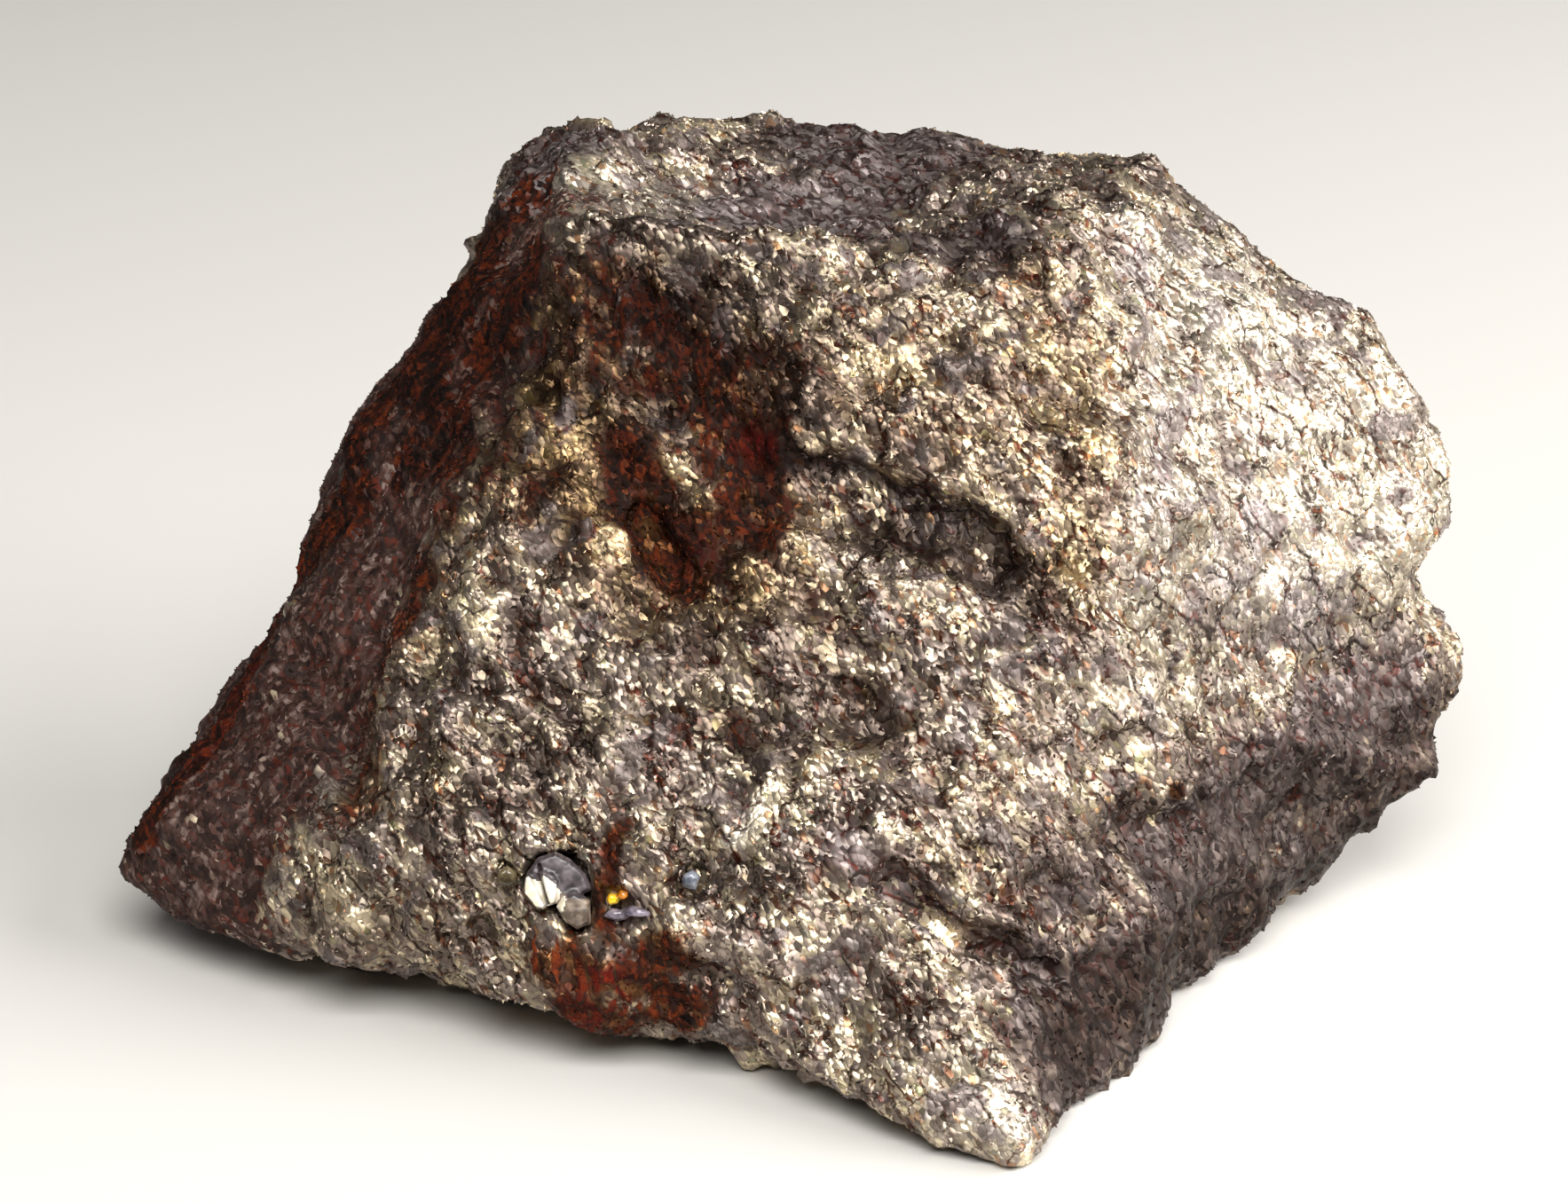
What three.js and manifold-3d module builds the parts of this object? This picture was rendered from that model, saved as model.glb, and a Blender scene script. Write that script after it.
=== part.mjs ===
// A hand specimen of massive chalcopyrite: one broken lump of granular copper ore, standing on its flattest
// fracture face. Millimetres, +Z up, the front towards -Y, and the origin on the surface it stands on, under
// the middle of the lump. The lump is one solid. Its fracture faces run between named corners, and hollows,
// ledges, lumps and the tilted chips of a hackly break are raised on them. A few grains of quartz are seated
// in a pocket low on the front.
import * as THREE from "three";
import { ConvexGeometry } from "three/addons/geometries/ConvexGeometry.js";
import { ConvexHull } from "three/addons/math/ConvexHull.js";
import { SimplexNoise } from "three/addons/math/SimplexNoise.js";
import { mergeVertices } from "three/addons/utils/BufferGeometryUtils.js";
import Module from "manifold-3d";

// Driving sizes of the lump in millimetres. Every place below is measured from a point on the resting surface
// near its middle, and at the end the whole lump moves the small way that centres it on the origin.
const MIDDLE = new THREE.Vector3(1, 3, 18);
const HALF_SIZES = new THREE.Vector3(46, 36, 26);
const SWELL = 0.6;

// Edges are eased over this angle in radians, as seen from the middle, by averaging a ring of directions
const EDGE_ROUNDING = 0.03;
const EDGE_RING = 6;

// The mesh: how finely a ball is divided, and how often its points are slid along to spread them evenly
const SURFACE_DETAIL = 20;
const SPREADING_ROUNDS = 40;
const MERGE_DISTANCE = 1e-5;

// Corners where the fracture faces meet, as [x, y, z]
const CORNERS = {
  // Far rim of the top, from left to right
  topFarLeft: [-20, 25, 46],
  topFarPeak: [-14.5, 27, 48.5],
  topFarMiddle: [-1, 29, 46.5],
  topFarRight: [11, 28, 47],
  topRightRise: [18.5, 26, 46],
  topRightCorner: [26, 22, 46],
  topRightShoulder: [28.5, 19, 43.5],

  // Right outline, from the shoulder down to the front foot
  rightUpper: [33, 17, 41],
  rightBulgeTop: [41.5, 14, 36.5],
  rightBulge: [45, 12, 31],
  rightBulgeLow: [46, 10, 25.5],
  rightNotch: [44, 9, 21],
  rightHeel: [45.5, 6, 15],
  rightHeelLow: [45, 5, 11],
  rightUnder: [43, 2, 7],
  rightFoot: [38.5, 1, 5],
  lowerRightA: [32.5, -6, 3.5],
  lowerRightB: [27.5, -12, 2],
  lowerRightC: [21.5, -24.5, 1],
  lowerRightD: [17.5, -32, 1],
  frontNub: [15, -37.5, 0],

  // Lower left outline, from the front foot to the left tip
  lowFrontA: [9.5, -35, 1],
  lowFrontB: [3, -31, 2.5],
  lowFrontC: [0, -27, 3.5],
  lowFrontD: [-4.5, -24, 4],
  rustyBulge: [-13, -25, 3.5],
  lowFrontE: [-16, -23, 5],
  lowFrontF: [-21.5, -20, 5.5],
  lowLeftA: [-31, -17, 5],
  lowLeftB: [-36.5, -13, 4.5],
  lowLeftC: [-42.5, -9, 4.5],
  leftTip: [-45, -6, 5.5],

  // Left outline, which is the far side of a rusty sliver of a face
  leftA: [-40.5, 3, 10],
  leftB: [-35.5, 9, 17],
  leftC: [-31, 14, 24.5],
  leftD: [-29, 15, 30.5],
  leftE: [-23, 18, 37],
  leftF: [-20.5, 20, 40.5],

  // Sharp edge between that sliver and the left flank
  flankEdgeA: [-28.5, 8, 30.5],
  flankEdgeB: [-29.5, 5, 25.5],
  flankEdgeC: [-32.5, 1, 20.5],
  flankEdgeD: [-38, -3, 14],
  flankEdgeE: [-42, -8, 10],

  // Edge between the left flank and the front
  flankA: [-17.5, 11, 43],
  flankB: [-16, 1, 37.5],
  flankC: [-18.5, -6, 29.5],
  flankD: [-21, -13, 21],
  flankE: [-26.5, -17, 12.5],
  flankMiddle: [-24, 0, 27.5],
  flankLow: [-31.5, -11, 13.5],

  // Near rim of the top
  rimLeft: [-14.5, 8, 46],
  rimLeftMiddle: [-11, 6, 45.5],
  rimMiddle: [1, 4, 45.5],
  rimDip: [9, 2, 43.5],
  rimRight: [17, 5, 46],
  topBasin: [2, 17, 44.5],

  // Edge between the front and the big right face
  ridgeUpper: [20.5, -1, 39],
  ridgeMiddle: [21, -8, 30.5],
  ridgeLower: [20, -13, 25],

  // Front
  goldShelfLeft: [2, -4.5, 34],
  goldShelfRight: [14, -6, 34.5],
  frontUpper: [-7, 0.5, 39.5],
  frontMiddle: [-7, -6, 29.5],
  frontLeft: [-14, -5, 31.5],
  frontBelly: [5, -25, 17],
  frontToe: [11.5, -34.5, 4.5],
  frontLowerLeft: [-10, -17, 19],
  frontDip: [-2, -15, 21.5],
  frontRight: [12, -19, 20],
  frontFlank: [-21, -19, 14],
  pocketSill: [-13.5, -21, 14.5],
  frontLowMiddle: [-4.5, -25, 12],

  // Big right face and the dark faces under it
  rightFaceLow: [32, -3, 17.5],
  rightFaceMiddle: [33.5, 5, 32],
  rightFaceTop: [31, 12, 40],
  darkFaceUpper: [27, -12, 10.5],
  darkFaceLower: [16, -27, 8.5],
  darkFaceRight: [36.5, -4, 11.5],

  // Back
  backLeftUpper: [-19, 29, 36],
  backUpper: [3, 33, 38],
  backRightUpper: [27, 27, 36],
  backLeft: [-25, 25, 22],
  backMiddle: [-3, 34, 20],
  backRight: [24, 31, 21],
  backFarRight: [38, 21, 22],
  backLeftLow: [-29, 17, 9],
  backLowMiddle: [-6, 29, 6],
  backRightLow: [25, 26, 6],
  backFarRightLow: [38, 13, 8],

  // Standing face, set a little under the surface so that a real flat is left where the lump is cut level
  standFront: [13, -29, -1.5],
  standFrontLeft: [-6, -16, -1],
  standLeft: [-24, -6, -1.5],
  standBackLeft: [-20, 13, -1.5],
  standBack: [4, 21, -1.5],
  standBackRight: [24, 16, -1.5],
  standRight: [29, -2, -1.5],
};

// The fracture faces as a distance from the middle of the lump, for any direction
function fractureFaces() {
  const cornerOf = new Map();
  for (const [x, y, z] of Object.values(CORNERS)) {
    const corner = new THREE.Vector3(x, y, z).sub(MIDDLE);
    cornerOf.set(corner.clone().normalize(), corner);
  }
  const hull = new ConvexHull().setFromPoints([...cornerOf.keys()]);
  const faces = hull.faces.map(({ edge }) => {
    const rays = [edge.prev.head().point, edge.head().point, edge.next.head().point];
    const [a, b, c] = rays.map((ray) => cornerOf.get(ray));
    const normal = b.clone().sub(a).cross(c.clone().sub(a));
    const sides = rays.map((ray, i) => ray.clone().cross(rays[(i + 1) % 3]));
    return { normal, offset: normal.dot(a), sides };
  });
  return (direction) => {
    let best = null;
    let bestInside = -Infinity;
    for (const face of faces) {
      const inside = Math.min(...face.sides.map((side) => side.dot(direction)));
      if (inside > bestInside) {
        bestInside = inside;
        best = face;
      }
    }
    return best.offset / best.normal.dot(direction);
  };
}

// Distance to the worn surface, whose edges are eased by averaging over a small ring of directions
function wornSurface(faceDistance) {
  const across = new THREE.Vector3();
  const along = new THREE.Vector3();
  const ray = new THREE.Vector3();
  return (direction) => {
    across.set(-direction.y, direction.x, 0.01).normalize();
    along.crossVectors(direction, across).normalize();
    let sum = faceDistance(direction);
    for (let i = 0; i < EDGE_RING; i++) {
      const angle = (i * 2 * Math.PI) / EDGE_RING;
      ray.copy(direction);
      ray.addScaledVector(across, EDGE_ROUNDING * Math.cos(angle));
      ray.addScaledVector(along, EDGE_ROUNDING * Math.sin(angle));
      sum += faceDistance(ray.normalize());
    }
    return sum / (EDGE_RING + 1);
  };
}

// Hollows (height below zero) and swellings (above zero) that are larger than the grain of the ore. Each
// follows a path of [x, y, z] points, keeps its full height over the flat share of its reach, and fades out
// at its reach. With a push, it moves the surface that way instead of outwards.
const FLAT_SHARE = 0.2;
const LANDMARKS = [
  // Top
  { path: [[-5, 14.5, 46], [6, 16, 45.5]], reach: 9, height: -1.5 },
  { path: [[11, 3.5, 45], [12, 7, 45]], reach: 3.4, height: -2 },
  { path: [[8.5, 3, 44.5], [13.5, 3.5, 45]], reach: 2.2, height: 0.9, push: [0, -0.9, 0.4] },
  { path: [[-14, 8, 46], [-6, 5.5, 45.5], [3, 3.5, 45]], reach: 2.4, height: 0.6 },
  { path: [[-13.5, 19.5, 47], [-9, 24, 47]], reach: 4, height: 0.9 },
  { path: [[-1, 29, 46]], reach: 3, height: 0.8 },
  { path: [[10.5, 28, 46.5]], reach: 3, height: 0.9 },
  { path: [[17.5, 11.5, 46.5], [24, 12.5, 45.5]], reach: 4.5, height: 0.8 },
  { path: [[-17, 15.5, 45], [-18, 13, 43.5]], reach: 3, height: -1 },

  // Swollen boss of clean ore under the rim, its brow, and the shaded gully under the brow
  { path: [[4.5, -1, 40], [10, -2, 39.5]], reach: 9, height: 1.6, push: [0.1, -0.95, -0.1] },
  { path: [[1, -4, 35], [7, -5, 35], [13, -8, 33]], reach: 3, height: 1, push: [0, -0.8, -0.6] },
  { path: [[1, -6, 33], [8.5, -8.5, 31.5], [15, -11, 29.5]], reach: 3.6, height: -2 },
  { path: [[6.5, -12.5, 27]], reach: 3.5, height: 0.9 },

  // Rusty cleft and the valleys that run into it and on down the front
  { path: [[-9.5, -4.5, 32], [-8, -9, 27.5]], reach: 2.8, height: -1.3 },
  { path: [[-11, 4, 43.5], [-5.5, -1.5, 37.5], [-2, -6, 32]], reach: 4.5, height: -1 },
  { path: [[0, -9.5, 28.5], [4.5, -15, 23.5], [8, -21.5, 19]], reach: 3.2, height: -1.2 },
  { path: [[-11.5, -6.5, 29.5], [-12.5, -9.5, 26]], reach: 2.6, height: 1 },
  { path: [[-1.5, -12.5, 25]], reach: 2.8, height: 0.9 },
  { path: [[-7, -13, 24]], reach: 3, height: 0.8 },

  // Rusty hollow and notch high on the left flank, a knot of clean ore beside them, and long scarps below
  { path: [[-21, 6, 37], [-17.5, 4, 39]], reach: 4, height: -1.9 },
  { path: [[-16, 0.5, 37.5]], reach: 2.4, height: -1.5 },
  { path: [[-13.5, 0.5, 38]], reach: 2.4, height: 1.1 },
  { path: [[-32, -2, 19.5], [-28, -11, 17]], reach: 2.4, height: -1.1 },
  { path: [[-22.5, 2.5, 32.5], [-26, -1.5, 25.5], [-29.5, -7.5, 18]], reach: 3, height: -1 },
  { path: [[-21, -2, 30.5], [-23, -7, 24], [-26.5, -13, 17]], reach: 2.4, height: 0.9 },

  // Groove down to the toe, with dents and knobs round it
  { path: [[4, -24.5, 17.5], [6.5, -27, 15], [13.5, -28, 10], [17.5, -28.5, 6]], reach: 2.7, height: -1.6 },
  { path: [[2.5, -29.5, 7]], reach: 3, height: -1.2 },
  { path: [[-4, -24, 14]], reach: 2.8, height: -1.4 },
  { path: [[-0.5, -21.5, 17.5]], reach: 3.2, height: 1 },
  { path: [[9.5, -32.5, 6], [11.5, -34, 4]], reach: 4, height: 0.9 },
  { path: [[2.5, -17.5, 21]], reach: 4, height: -0.9 },
  { path: [[-13.5, -22, 12], [-9, -23.5, 11.5]], reach: 3.4, height: -0.9 },
  { path: [[-14.5, -24, 6], [-9, -25, 7.5]], reach: 3.5, height: 0.8 },
  { path: [[-21.5, -20, 8.5]], reach: 4, height: 0.8 },
  { path: [[15, -37.5, 1], [14, -36, 2.5]], reach: 3, height: 1, push: [0.1, -1, -0.2] },

  // Right face, with a low step over its foot
  { path: [[34, 10.5, 37.5]], reach: 2.6, height: -0.9 },
  { path: [[38.5, 4.5, 25.5]], reach: 2.6, height: -1 },
  { path: [[24, -6.5, 30], [32.5, 0, 25]], reach: 7, height: 0.8 },
  { path: [[29, 6, 37.5], [35.5, 6.5, 32.5]], reach: 6, height: 0.7 },
  {
    path: [[22.5, -14, 16.5], [32.5, -4.5, 16], [42.5, 3, 13.5]],
    reach: 3, height: 1, push: [0.3, -0.6, -0.2],
  },
  { path: [[20.5, -17.5, 13], [30, -9.5, 11.5], [40.5, -0.5, 9]], reach: 3.4, height: -1.3 },
  { path: [[14.5, -24.5, 12.5]], reach: 3, height: 0.8 },
  { path: [[23, -18.5, 9]], reach: 3.5, height: 0.9 },
  { path: [[44, 8.5, 21]], reach: 2.6, height: -1.2 },

  // Back, with a slanting ledge, a scar and a hollow
  { path: [[-18, 31, 32], [0, 35, 27], [18, 33, 20]], reach: 5, height: 2.2 },
  { path: [[-18, 30, 25], [0, 34, 20], [18, 32, 13]], reach: 5, height: -2 },
  { path: [[14, 31, 34], [27, 27, 31]], reach: 5, height: -1.8 },
  { path: [[-8, 31, 10]], reach: 7, height: 1.8 },
  { path: [[34, 22, 27], [37, 20, 14]], reach: 4.5, height: -1.5 },
  { path: [[-29, 18, 16], [-33, 11, 10]], reach: 5, height: -1.4 },
];

// Unevenness of the broken faces: slow lumps, smaller lumps, and the flat tilted chips of a hackly fracture
const LUMP_SEED = 29;
const LUMPS = [
  { size: 11, height: 0.7 },
  { size: 5.5, height: 0.4 },
];
const CHIP_SIZE = 5;
const CHIP_TILT = 0.24;
const CHIP_SEEDS = [73856, 19349, 83492];
const SMOOTH_FLANK = { left: -32, right: -17, share: 0.5 };

// A repeatable run of random numbers from 0 to 1, by the usual linear congruence
function randomFrom(seed) {
  const MULTIPLIER = 1664525;
  const STEP = 1013904223;
  let state = seed;
  return () => {
    state = (Math.imul(state, MULTIPLIER) + STEP) >>> 0;
    return state / 2 ** 32;
  };
}

// Rise of the slow and small lumps at a point
function lumpHeight(noise, point) {
  let height = 0;
  for (const lump of LUMPS) {
    height += lump.height * noise.noise3d(point.x / lump.size, point.y / lump.size, point.z / lump.size);
  }
  return height;
}

// Each point belongs to the nearest chip, and each chip is a small plane tilted its own way. The left flank
// broke smoother, so its chips are tilted less.
function chipMaker() {
  const chips = new Map();
  const chipAt = (i, j, k) => {
    const key = `${i},${j},${k}`;
    if (!chips.has(key)) {
      const random = randomFrom(CHIP_SEEDS[0] * i + CHIP_SEEDS[1] * j + CHIP_SEEDS[2] * k);
      random();
      const place = new THREE.Vector3(i + random(), j + random(), k + random()).multiplyScalar(CHIP_SIZE);
      const tilt = new THREE.Vector3(random(), random(), random()).subScalar(0.5);
      tilt.multiplyScalar(2 * CHIP_TILT);
      chips.set(key, { place, tilt });
    }
    return chips.get(key);
  };
  const offset = new THREE.Vector3();
  return (point) => {
    const [i, j, k] = point.toArray().map((value) => Math.floor(value / CHIP_SIZE));
    let nearest = null;
    let nearestDistance = Infinity;
    for (let di = -1; di <= 1; di++) {
      for (let dj = -1; dj <= 1; dj++) {
        for (let dk = -1; dk <= 1; dk++) {
          const chip = chipAt(i + di, j + dj, k + dk);
          const distance = chip.place.distanceToSquared(point);
          if (distance < nearestDistance) {
            nearestDistance = distance;
            nearest = chip;
          }
        }
      }
    }
    const roughness = THREE.MathUtils.smoothstep(point.x, SMOOTH_FLANK.left, SMOOTH_FLANK.right);
    const share = THREE.MathUtils.lerp(SMOOTH_FLANK.share, 1, roughness);
    return share * offset.copy(point).sub(nearest.place).dot(nearest.tilt);
  };
}

// How much of a landmark reaches a point: 1 on its path, fading to 0 at its reach
function landmarkShare(landmark, point) {
  const closest = new THREE.Vector3();
  let distance = point.distanceTo(landmark.points[0]);
  for (let i = 1; i < landmark.points.length; i++) {
    new THREE.Line3(landmark.points[i - 1], landmark.points[i]).closestPointToPoint(point, true, closest);
    distance = Math.min(distance, closest.distanceTo(point));
  }
  return 1 - THREE.MathUtils.smoothstep(distance, landmark.reach * FLAT_SHARE, landmark.reach);
}

// The worn surface as a mesh, with its points slid along the surface until they are evenly spread
function evenlySpread(faceDistance, distance) {
  const ball = new THREE.IcosahedronGeometry(1, SURFACE_DETAIL);
  ball.deleteAttribute("normal");
  ball.deleteAttribute("uv");
  const geometry = mergeVertices(ball, MERGE_DISTANCE);
  const place = geometry.attributes.position;
  const neighbours = Array.from({ length: place.count }, () => new Set());
  const corners = geometry.index.array;
  for (let i = 0; i < corners.length; i += 3) {
    for (let k = 0; k < 3; k++) {
      neighbours[corners[i + k]].add(corners[i + ((k + 1) % 3)]);
    }
  }
  let points = neighbours.map((_, i) => {
    const direction = new THREE.Vector3().fromBufferAttribute(place, i).multiply(HALF_SIZES).normalize();
    return direction.multiplyScalar(faceDistance(direction));
  });
  for (let round = 0; round < SPREADING_ROUNDS; round++) {
    points = neighbours.map((ring) => {
      const direction = new THREE.Vector3();
      for (const neighbour of ring) {
        direction.add(points[neighbour]);
      }
      direction.normalize();
      return direction.multiplyScalar(faceDistance(direction));
    });
  }
  points.forEach((point, i) => {
    const direction = point.normalize();
    point.multiplyScalar(distance(direction)).add(MIDDLE);
    place.setXYZ(i, point.x, point.y, point.z);
  });
  return geometry;
}

// The lump of ore, level where it stands
function oreGeometry() {
  const faceDistance = fractureFaces();
  const noise = new SimplexNoise({ random: randomFrom(LUMP_SEED) });
  const chipHeight = chipMaker();
  const landmarks = LANDMARKS.map((landmark) => ({
    ...landmark,
    points: landmark.path.map((place) => new THREE.Vector3(...place)),
    way: landmark.push ? new THREE.Vector3(...landmark.push) : null,
  }));
  const geometry = evenlySpread(faceDistance, wornSurface(faceDistance));
  const place = geometry.attributes.position;
  const outwards = new THREE.Vector3();
  for (let i = 0; i < place.count; i++) {
    const face = new THREE.Vector3().fromBufferAttribute(place, i);
    outwards.copy(face).sub(MIDDLE).normalize();
    const point = face.clone().addScaledVector(outwards, SWELL + lumpHeight(noise, face) + chipHeight(face));
    for (const landmark of landmarks) {
      const share = landmarkShare(landmark, face);
      point.addScaledVector(landmark.way ?? outwards, share * landmark.height);
    }
    point.z = Math.max(point.z, 0);
    place.setXYZ(i, point.x, point.y, point.z);
  }
  return geometry;
}

// The quartz pocket, low on the front. Its grains are drawn on a plane that leans back as the front does: u
// to the right, v up the lean and w outwards. The ore keeps a small gap round each grain, as the weathered
// seam has.
const POCKET = new THREE.Vector3(-13.4, -22.5, 12);
const POCKET_LEAN = THREE.MathUtils.degToRad(22);
const SEAT_GAP = 0.3;
const SEAT_REACH = 30;

// Each crystal is an outline of [u, v] points, with how far it sinks in, how far it stands out and how much
// its outer face narrows. It is widest just above the ore.
const ROOT_SHARE = 0.75;
const WIDEST_SHARE = 0.35;
const QUARTZ_GRAINS = {
  quartz_cluster: {
    color: 0xb3a8a6,
    crystals: [
      {
        sunk: 2.6, proud: 0.7, narrow: 0.86,
        outline: [
          [-2.75, 0.9], [-2.5, 1.5], [-2.1, 2.1], [-0.95, 2.5], [0, 2], [1, 1.1],
          [1.4, 0.1], [0.8, -0.2], [-0.75, -0.7], [-1.45, -1], [-2.3, -0.7], [-2.75, 0.1],
        ],
      },
      {
        sunk: 2.4, proud: 0.9, narrow: 0.8,
        outline: [
          [-0.85, -0.9], [-0.4, -0.15], [0.3, 0.1], [1.3, -0.5], [1.3, -2], [0.45, -2.35], [-0.25, -1.9],
        ],
      },
      {
        sunk: 1.9, proud: 1.3, narrow: 0.88,
        outline: [
          [-2.7, 1.25], [-2.35, 0.6], [-1.9, -0.25], [-1.5, -0.95],
          [-1.65, -1.15], [-2.15, -1.05], [-2.9, -0.1], [-2.9, 0.6],
        ],
      },
      {
        sunk: 1.9, proud: 1.45, narrow: 0.88,
        outline: [
          [-2.1, 1.2], [-1.75, 1.4], [-1, 1.05], [-0.75, 0.7],
          [-0.8, -0.1], [-1, -0.8], [-1.25, -0.85], [-1.6, 0.15],
        ],
      },
    ],
  },
  quartz_chip: {
    color: 0xb9aeb6,
    crystals: [
      {
        sunk: 1.4, proud: 0.6, narrow: 0.6,
        outline: [[2.1, -1.5], [2.6, -1], [3.5, -1.1], [3.8, -1.6], [3, -1.9]],
      },
      {
        sunk: 1.4, proud: 0.8, narrow: 0.8,
        outline: [[3.3, -1], [3.9, -0.8], [5.1, -1.2], [5.1, -1.5], [3.5, -1.5]],
      },
    ],
  },
  amber_grain: {
    color: 0xe0a33c,
    crystals: [
      {
        sunk: 1, proud: 0.9, narrow: 0.7,
        outline: [[2.25, -0.45], [2.4, -0.1], [2.75, -0.05], [3.05, -0.3], [3, -0.7], [2.5, -0.85]],
      },
      {
        sunk: 1, proud: 0.7, narrow: 0.7,
        outline: [[2.9, -0.2], [3.15, 0.15], [3.6, 0], [3.65, -0.3], [3.3, -0.5]],
      },
    ],
  },
  olive_grain: {
    color: 0x7a6a4e,
    crystals: [
      {
        sunk: 1.3, proud: 0.7, narrow: 0.7,
        outline: [[-4.7, 0.4], [-4.6, 1.3], [-4, 1.6], [-3.4, 1.2], [-3.4, 0.4], [-4, 0.1]],
      },
    ],
  },
  quartz_speck: {
    color: 0xa7a2ad,
    crystals: [
      {
        sunk: 1.6, proud: 0.7, narrow: 0.6,
        outline: [[7, 0.4], [7.1, 1.2], [7.7, 1.5], [8.2, 1.1], [7.9, 0.2]],
      },
    ],
  },
};

// A point of the pocket's plane, in the lump's own axes
function fromPocket(u, v, w) {
  return new THREE.Vector3(u, -w, v).applyAxisAngle(new THREE.Vector3(1, 0, 0), -POCKET_LEAN).add(POCKET);
}

// How far out the ore's surface lies behind a point of the pocket's plane
function surfaceOut(ore, { x, y }) {
  const start = fromPocket(x, y, SEAT_REACH);
  const inwards = fromPocket(x, y, 0).sub(start).normalize();
  const [hit] = new THREE.Raycaster(start, inwards).intersectObject(ore);
  return SEAT_REACH - hit.distance;
}

// A crystal as a convex block seated on the ore, made larger all round by the room given
function crystalGeometry({ outline, sunk, proud, narrow }, ore, room) {
  const centre = new THREE.Vector2();
  for (const [u, v] of outline) {
    centre.x += u / outline.length;
    centre.y += v / outline.length;
  }
  const seat = surfaceOut(ore, centre);
  const rings = [
    { w: seat - sunk - room, scale: ROOT_SHARE },
    { w: seat + proud * WIDEST_SHARE, scale: 1 },
    { w: seat + proud + room, scale: narrow },
  ];
  const points = [];
  for (const { w, scale } of rings) {
    for (const [u, v] of outline) {
      const out = new THREE.Vector2(u, v).sub(centre);
      out.setLength(out.length() * scale + room).add(centre);
      points.push(fromPocket(out.x, out.y, w));
    }
  }
  return new ConvexGeometry(points);
}

const wasm = await Module();
wasm.setup();

// A geometry as a closed solid that can be joined and cut
function toSolid(source) {
  const geometry = source.clone();
  geometry.deleteAttribute("normal");
  geometry.deleteAttribute("uv");
  const merged = mergeVertices(geometry, MERGE_DISTANCE);
  const mesh = new wasm.Mesh({
    numProp: 3,
    vertProperties: merged.attributes.position.array,
    triVerts: new Uint32Array(merged.index.array),
  });
  return new wasm.Manifold(mesh);
}

function fromSolid(solid) {
  const mesh = solid.getMesh();
  const geometry = new THREE.BufferGeometry();
  geometry.setAttribute("position", new THREE.BufferAttribute(mesh.vertProperties, 3));
  geometry.setIndex(new THREE.BufferAttribute(mesh.triVerts, 1));
  geometry.computeVertexNormals();
  return geometry;
}

// Crystals that grew together, as one solid
function joined(crystals, ore, room) {
  const solids = crystals.map((crystal) => toSolid(crystalGeometry(crystal, ore, room)));
  return solids.reduce((whole, solid) => whole.add(solid));
}

const specimen = new THREE.Group();
const lump = new THREE.Group();
specimen.add(lump);

// Adds one named piece with its finish to the lump
function addPiece(name, geometry, finish) {
  const piece = new THREE.Mesh(geometry, new THREE.MeshStandardMaterial(finish));
  piece.name = name;
  lump.add(piece);
  return piece;
}

const uncutOre = new THREE.Mesh(oreGeometry());
let oreSolid = toSolid(uncutOre.geometry);
for (const [name, grain] of Object.entries(QUARTZ_GRAINS)) {
  const quartz = fromSolid(joined(grain.crystals, uncutOre, 0));
  addPiece(name, quartz, { color: grain.color, roughness: 0.15, metalness: 0 });
  oreSolid = oreSolid.subtract(joined(grain.crystals, uncutOre, SEAT_GAP));
}
const brassy = { color: 0x8f7b62, roughness: 0.42, metalness: 0.75 };
const oreMass = addPiece("ore_mass", fromSolid(oreSolid), brassy);

// The origin goes under the middle of the lump
oreMass.geometry.computeBoundingBox();
const middle = oreMass.geometry.boundingBox.getCenter(new THREE.Vector3());
lump.position.set(-middle.x, -middle.y, 0);

export default specimen;
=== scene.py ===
"""The looks of a hand specimen of massive chalcopyrite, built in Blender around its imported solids."""

import math

import bpy
import numpy as np
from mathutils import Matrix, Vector


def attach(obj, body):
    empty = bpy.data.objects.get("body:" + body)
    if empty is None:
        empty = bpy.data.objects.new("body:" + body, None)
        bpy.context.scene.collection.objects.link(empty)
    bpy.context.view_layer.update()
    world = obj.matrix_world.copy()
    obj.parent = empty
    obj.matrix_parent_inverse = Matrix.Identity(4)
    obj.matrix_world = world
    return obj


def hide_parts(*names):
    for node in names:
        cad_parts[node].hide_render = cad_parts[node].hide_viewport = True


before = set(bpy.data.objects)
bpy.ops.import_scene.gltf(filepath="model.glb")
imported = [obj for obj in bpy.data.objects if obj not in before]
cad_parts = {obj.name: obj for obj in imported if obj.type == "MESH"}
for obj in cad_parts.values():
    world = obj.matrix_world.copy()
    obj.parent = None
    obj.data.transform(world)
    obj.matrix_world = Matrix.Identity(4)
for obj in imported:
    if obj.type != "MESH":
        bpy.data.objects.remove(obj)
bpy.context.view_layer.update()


# The setting: a pale floor under soft studio light. One broad light stands to the right and a little above,
# as the photograph's does, another in front and higher, and the camera looks a little down on the front.
MM = 0.001
LOOK_AT = Vector((-1.2, 0.6, 22.5)) * MM
CAMERA_TILT = math.radians(22)
CAMERA_DISTANCE = 300 * MM
SENSOR_WIDTH = 36.0
LENS = 103.9
NEAREST_SEEN = 10 * MM
LIGHT_TINT = "#fffdfa"
FILL_TINT = "#cac8c8"
FILL_STRENGTH = 0.10
FLOOR_SIZE = 3.0
PAPER_TINT = "#c9c7c3"
PAPER_ROUGHNESS = 0.9


def linear(hex_colour):
    """An sRGB hex colour as the linear values that Blender's sockets take."""
    channels = [int(hex_colour[i : i + 2], 16) / 255 for i in (1, 3, 5)]
    return [c / 12.92 if c <= 0.04045 else ((c + 0.055) / 1.055) ** 2.4 for c in channels] + [1.0]


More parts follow.
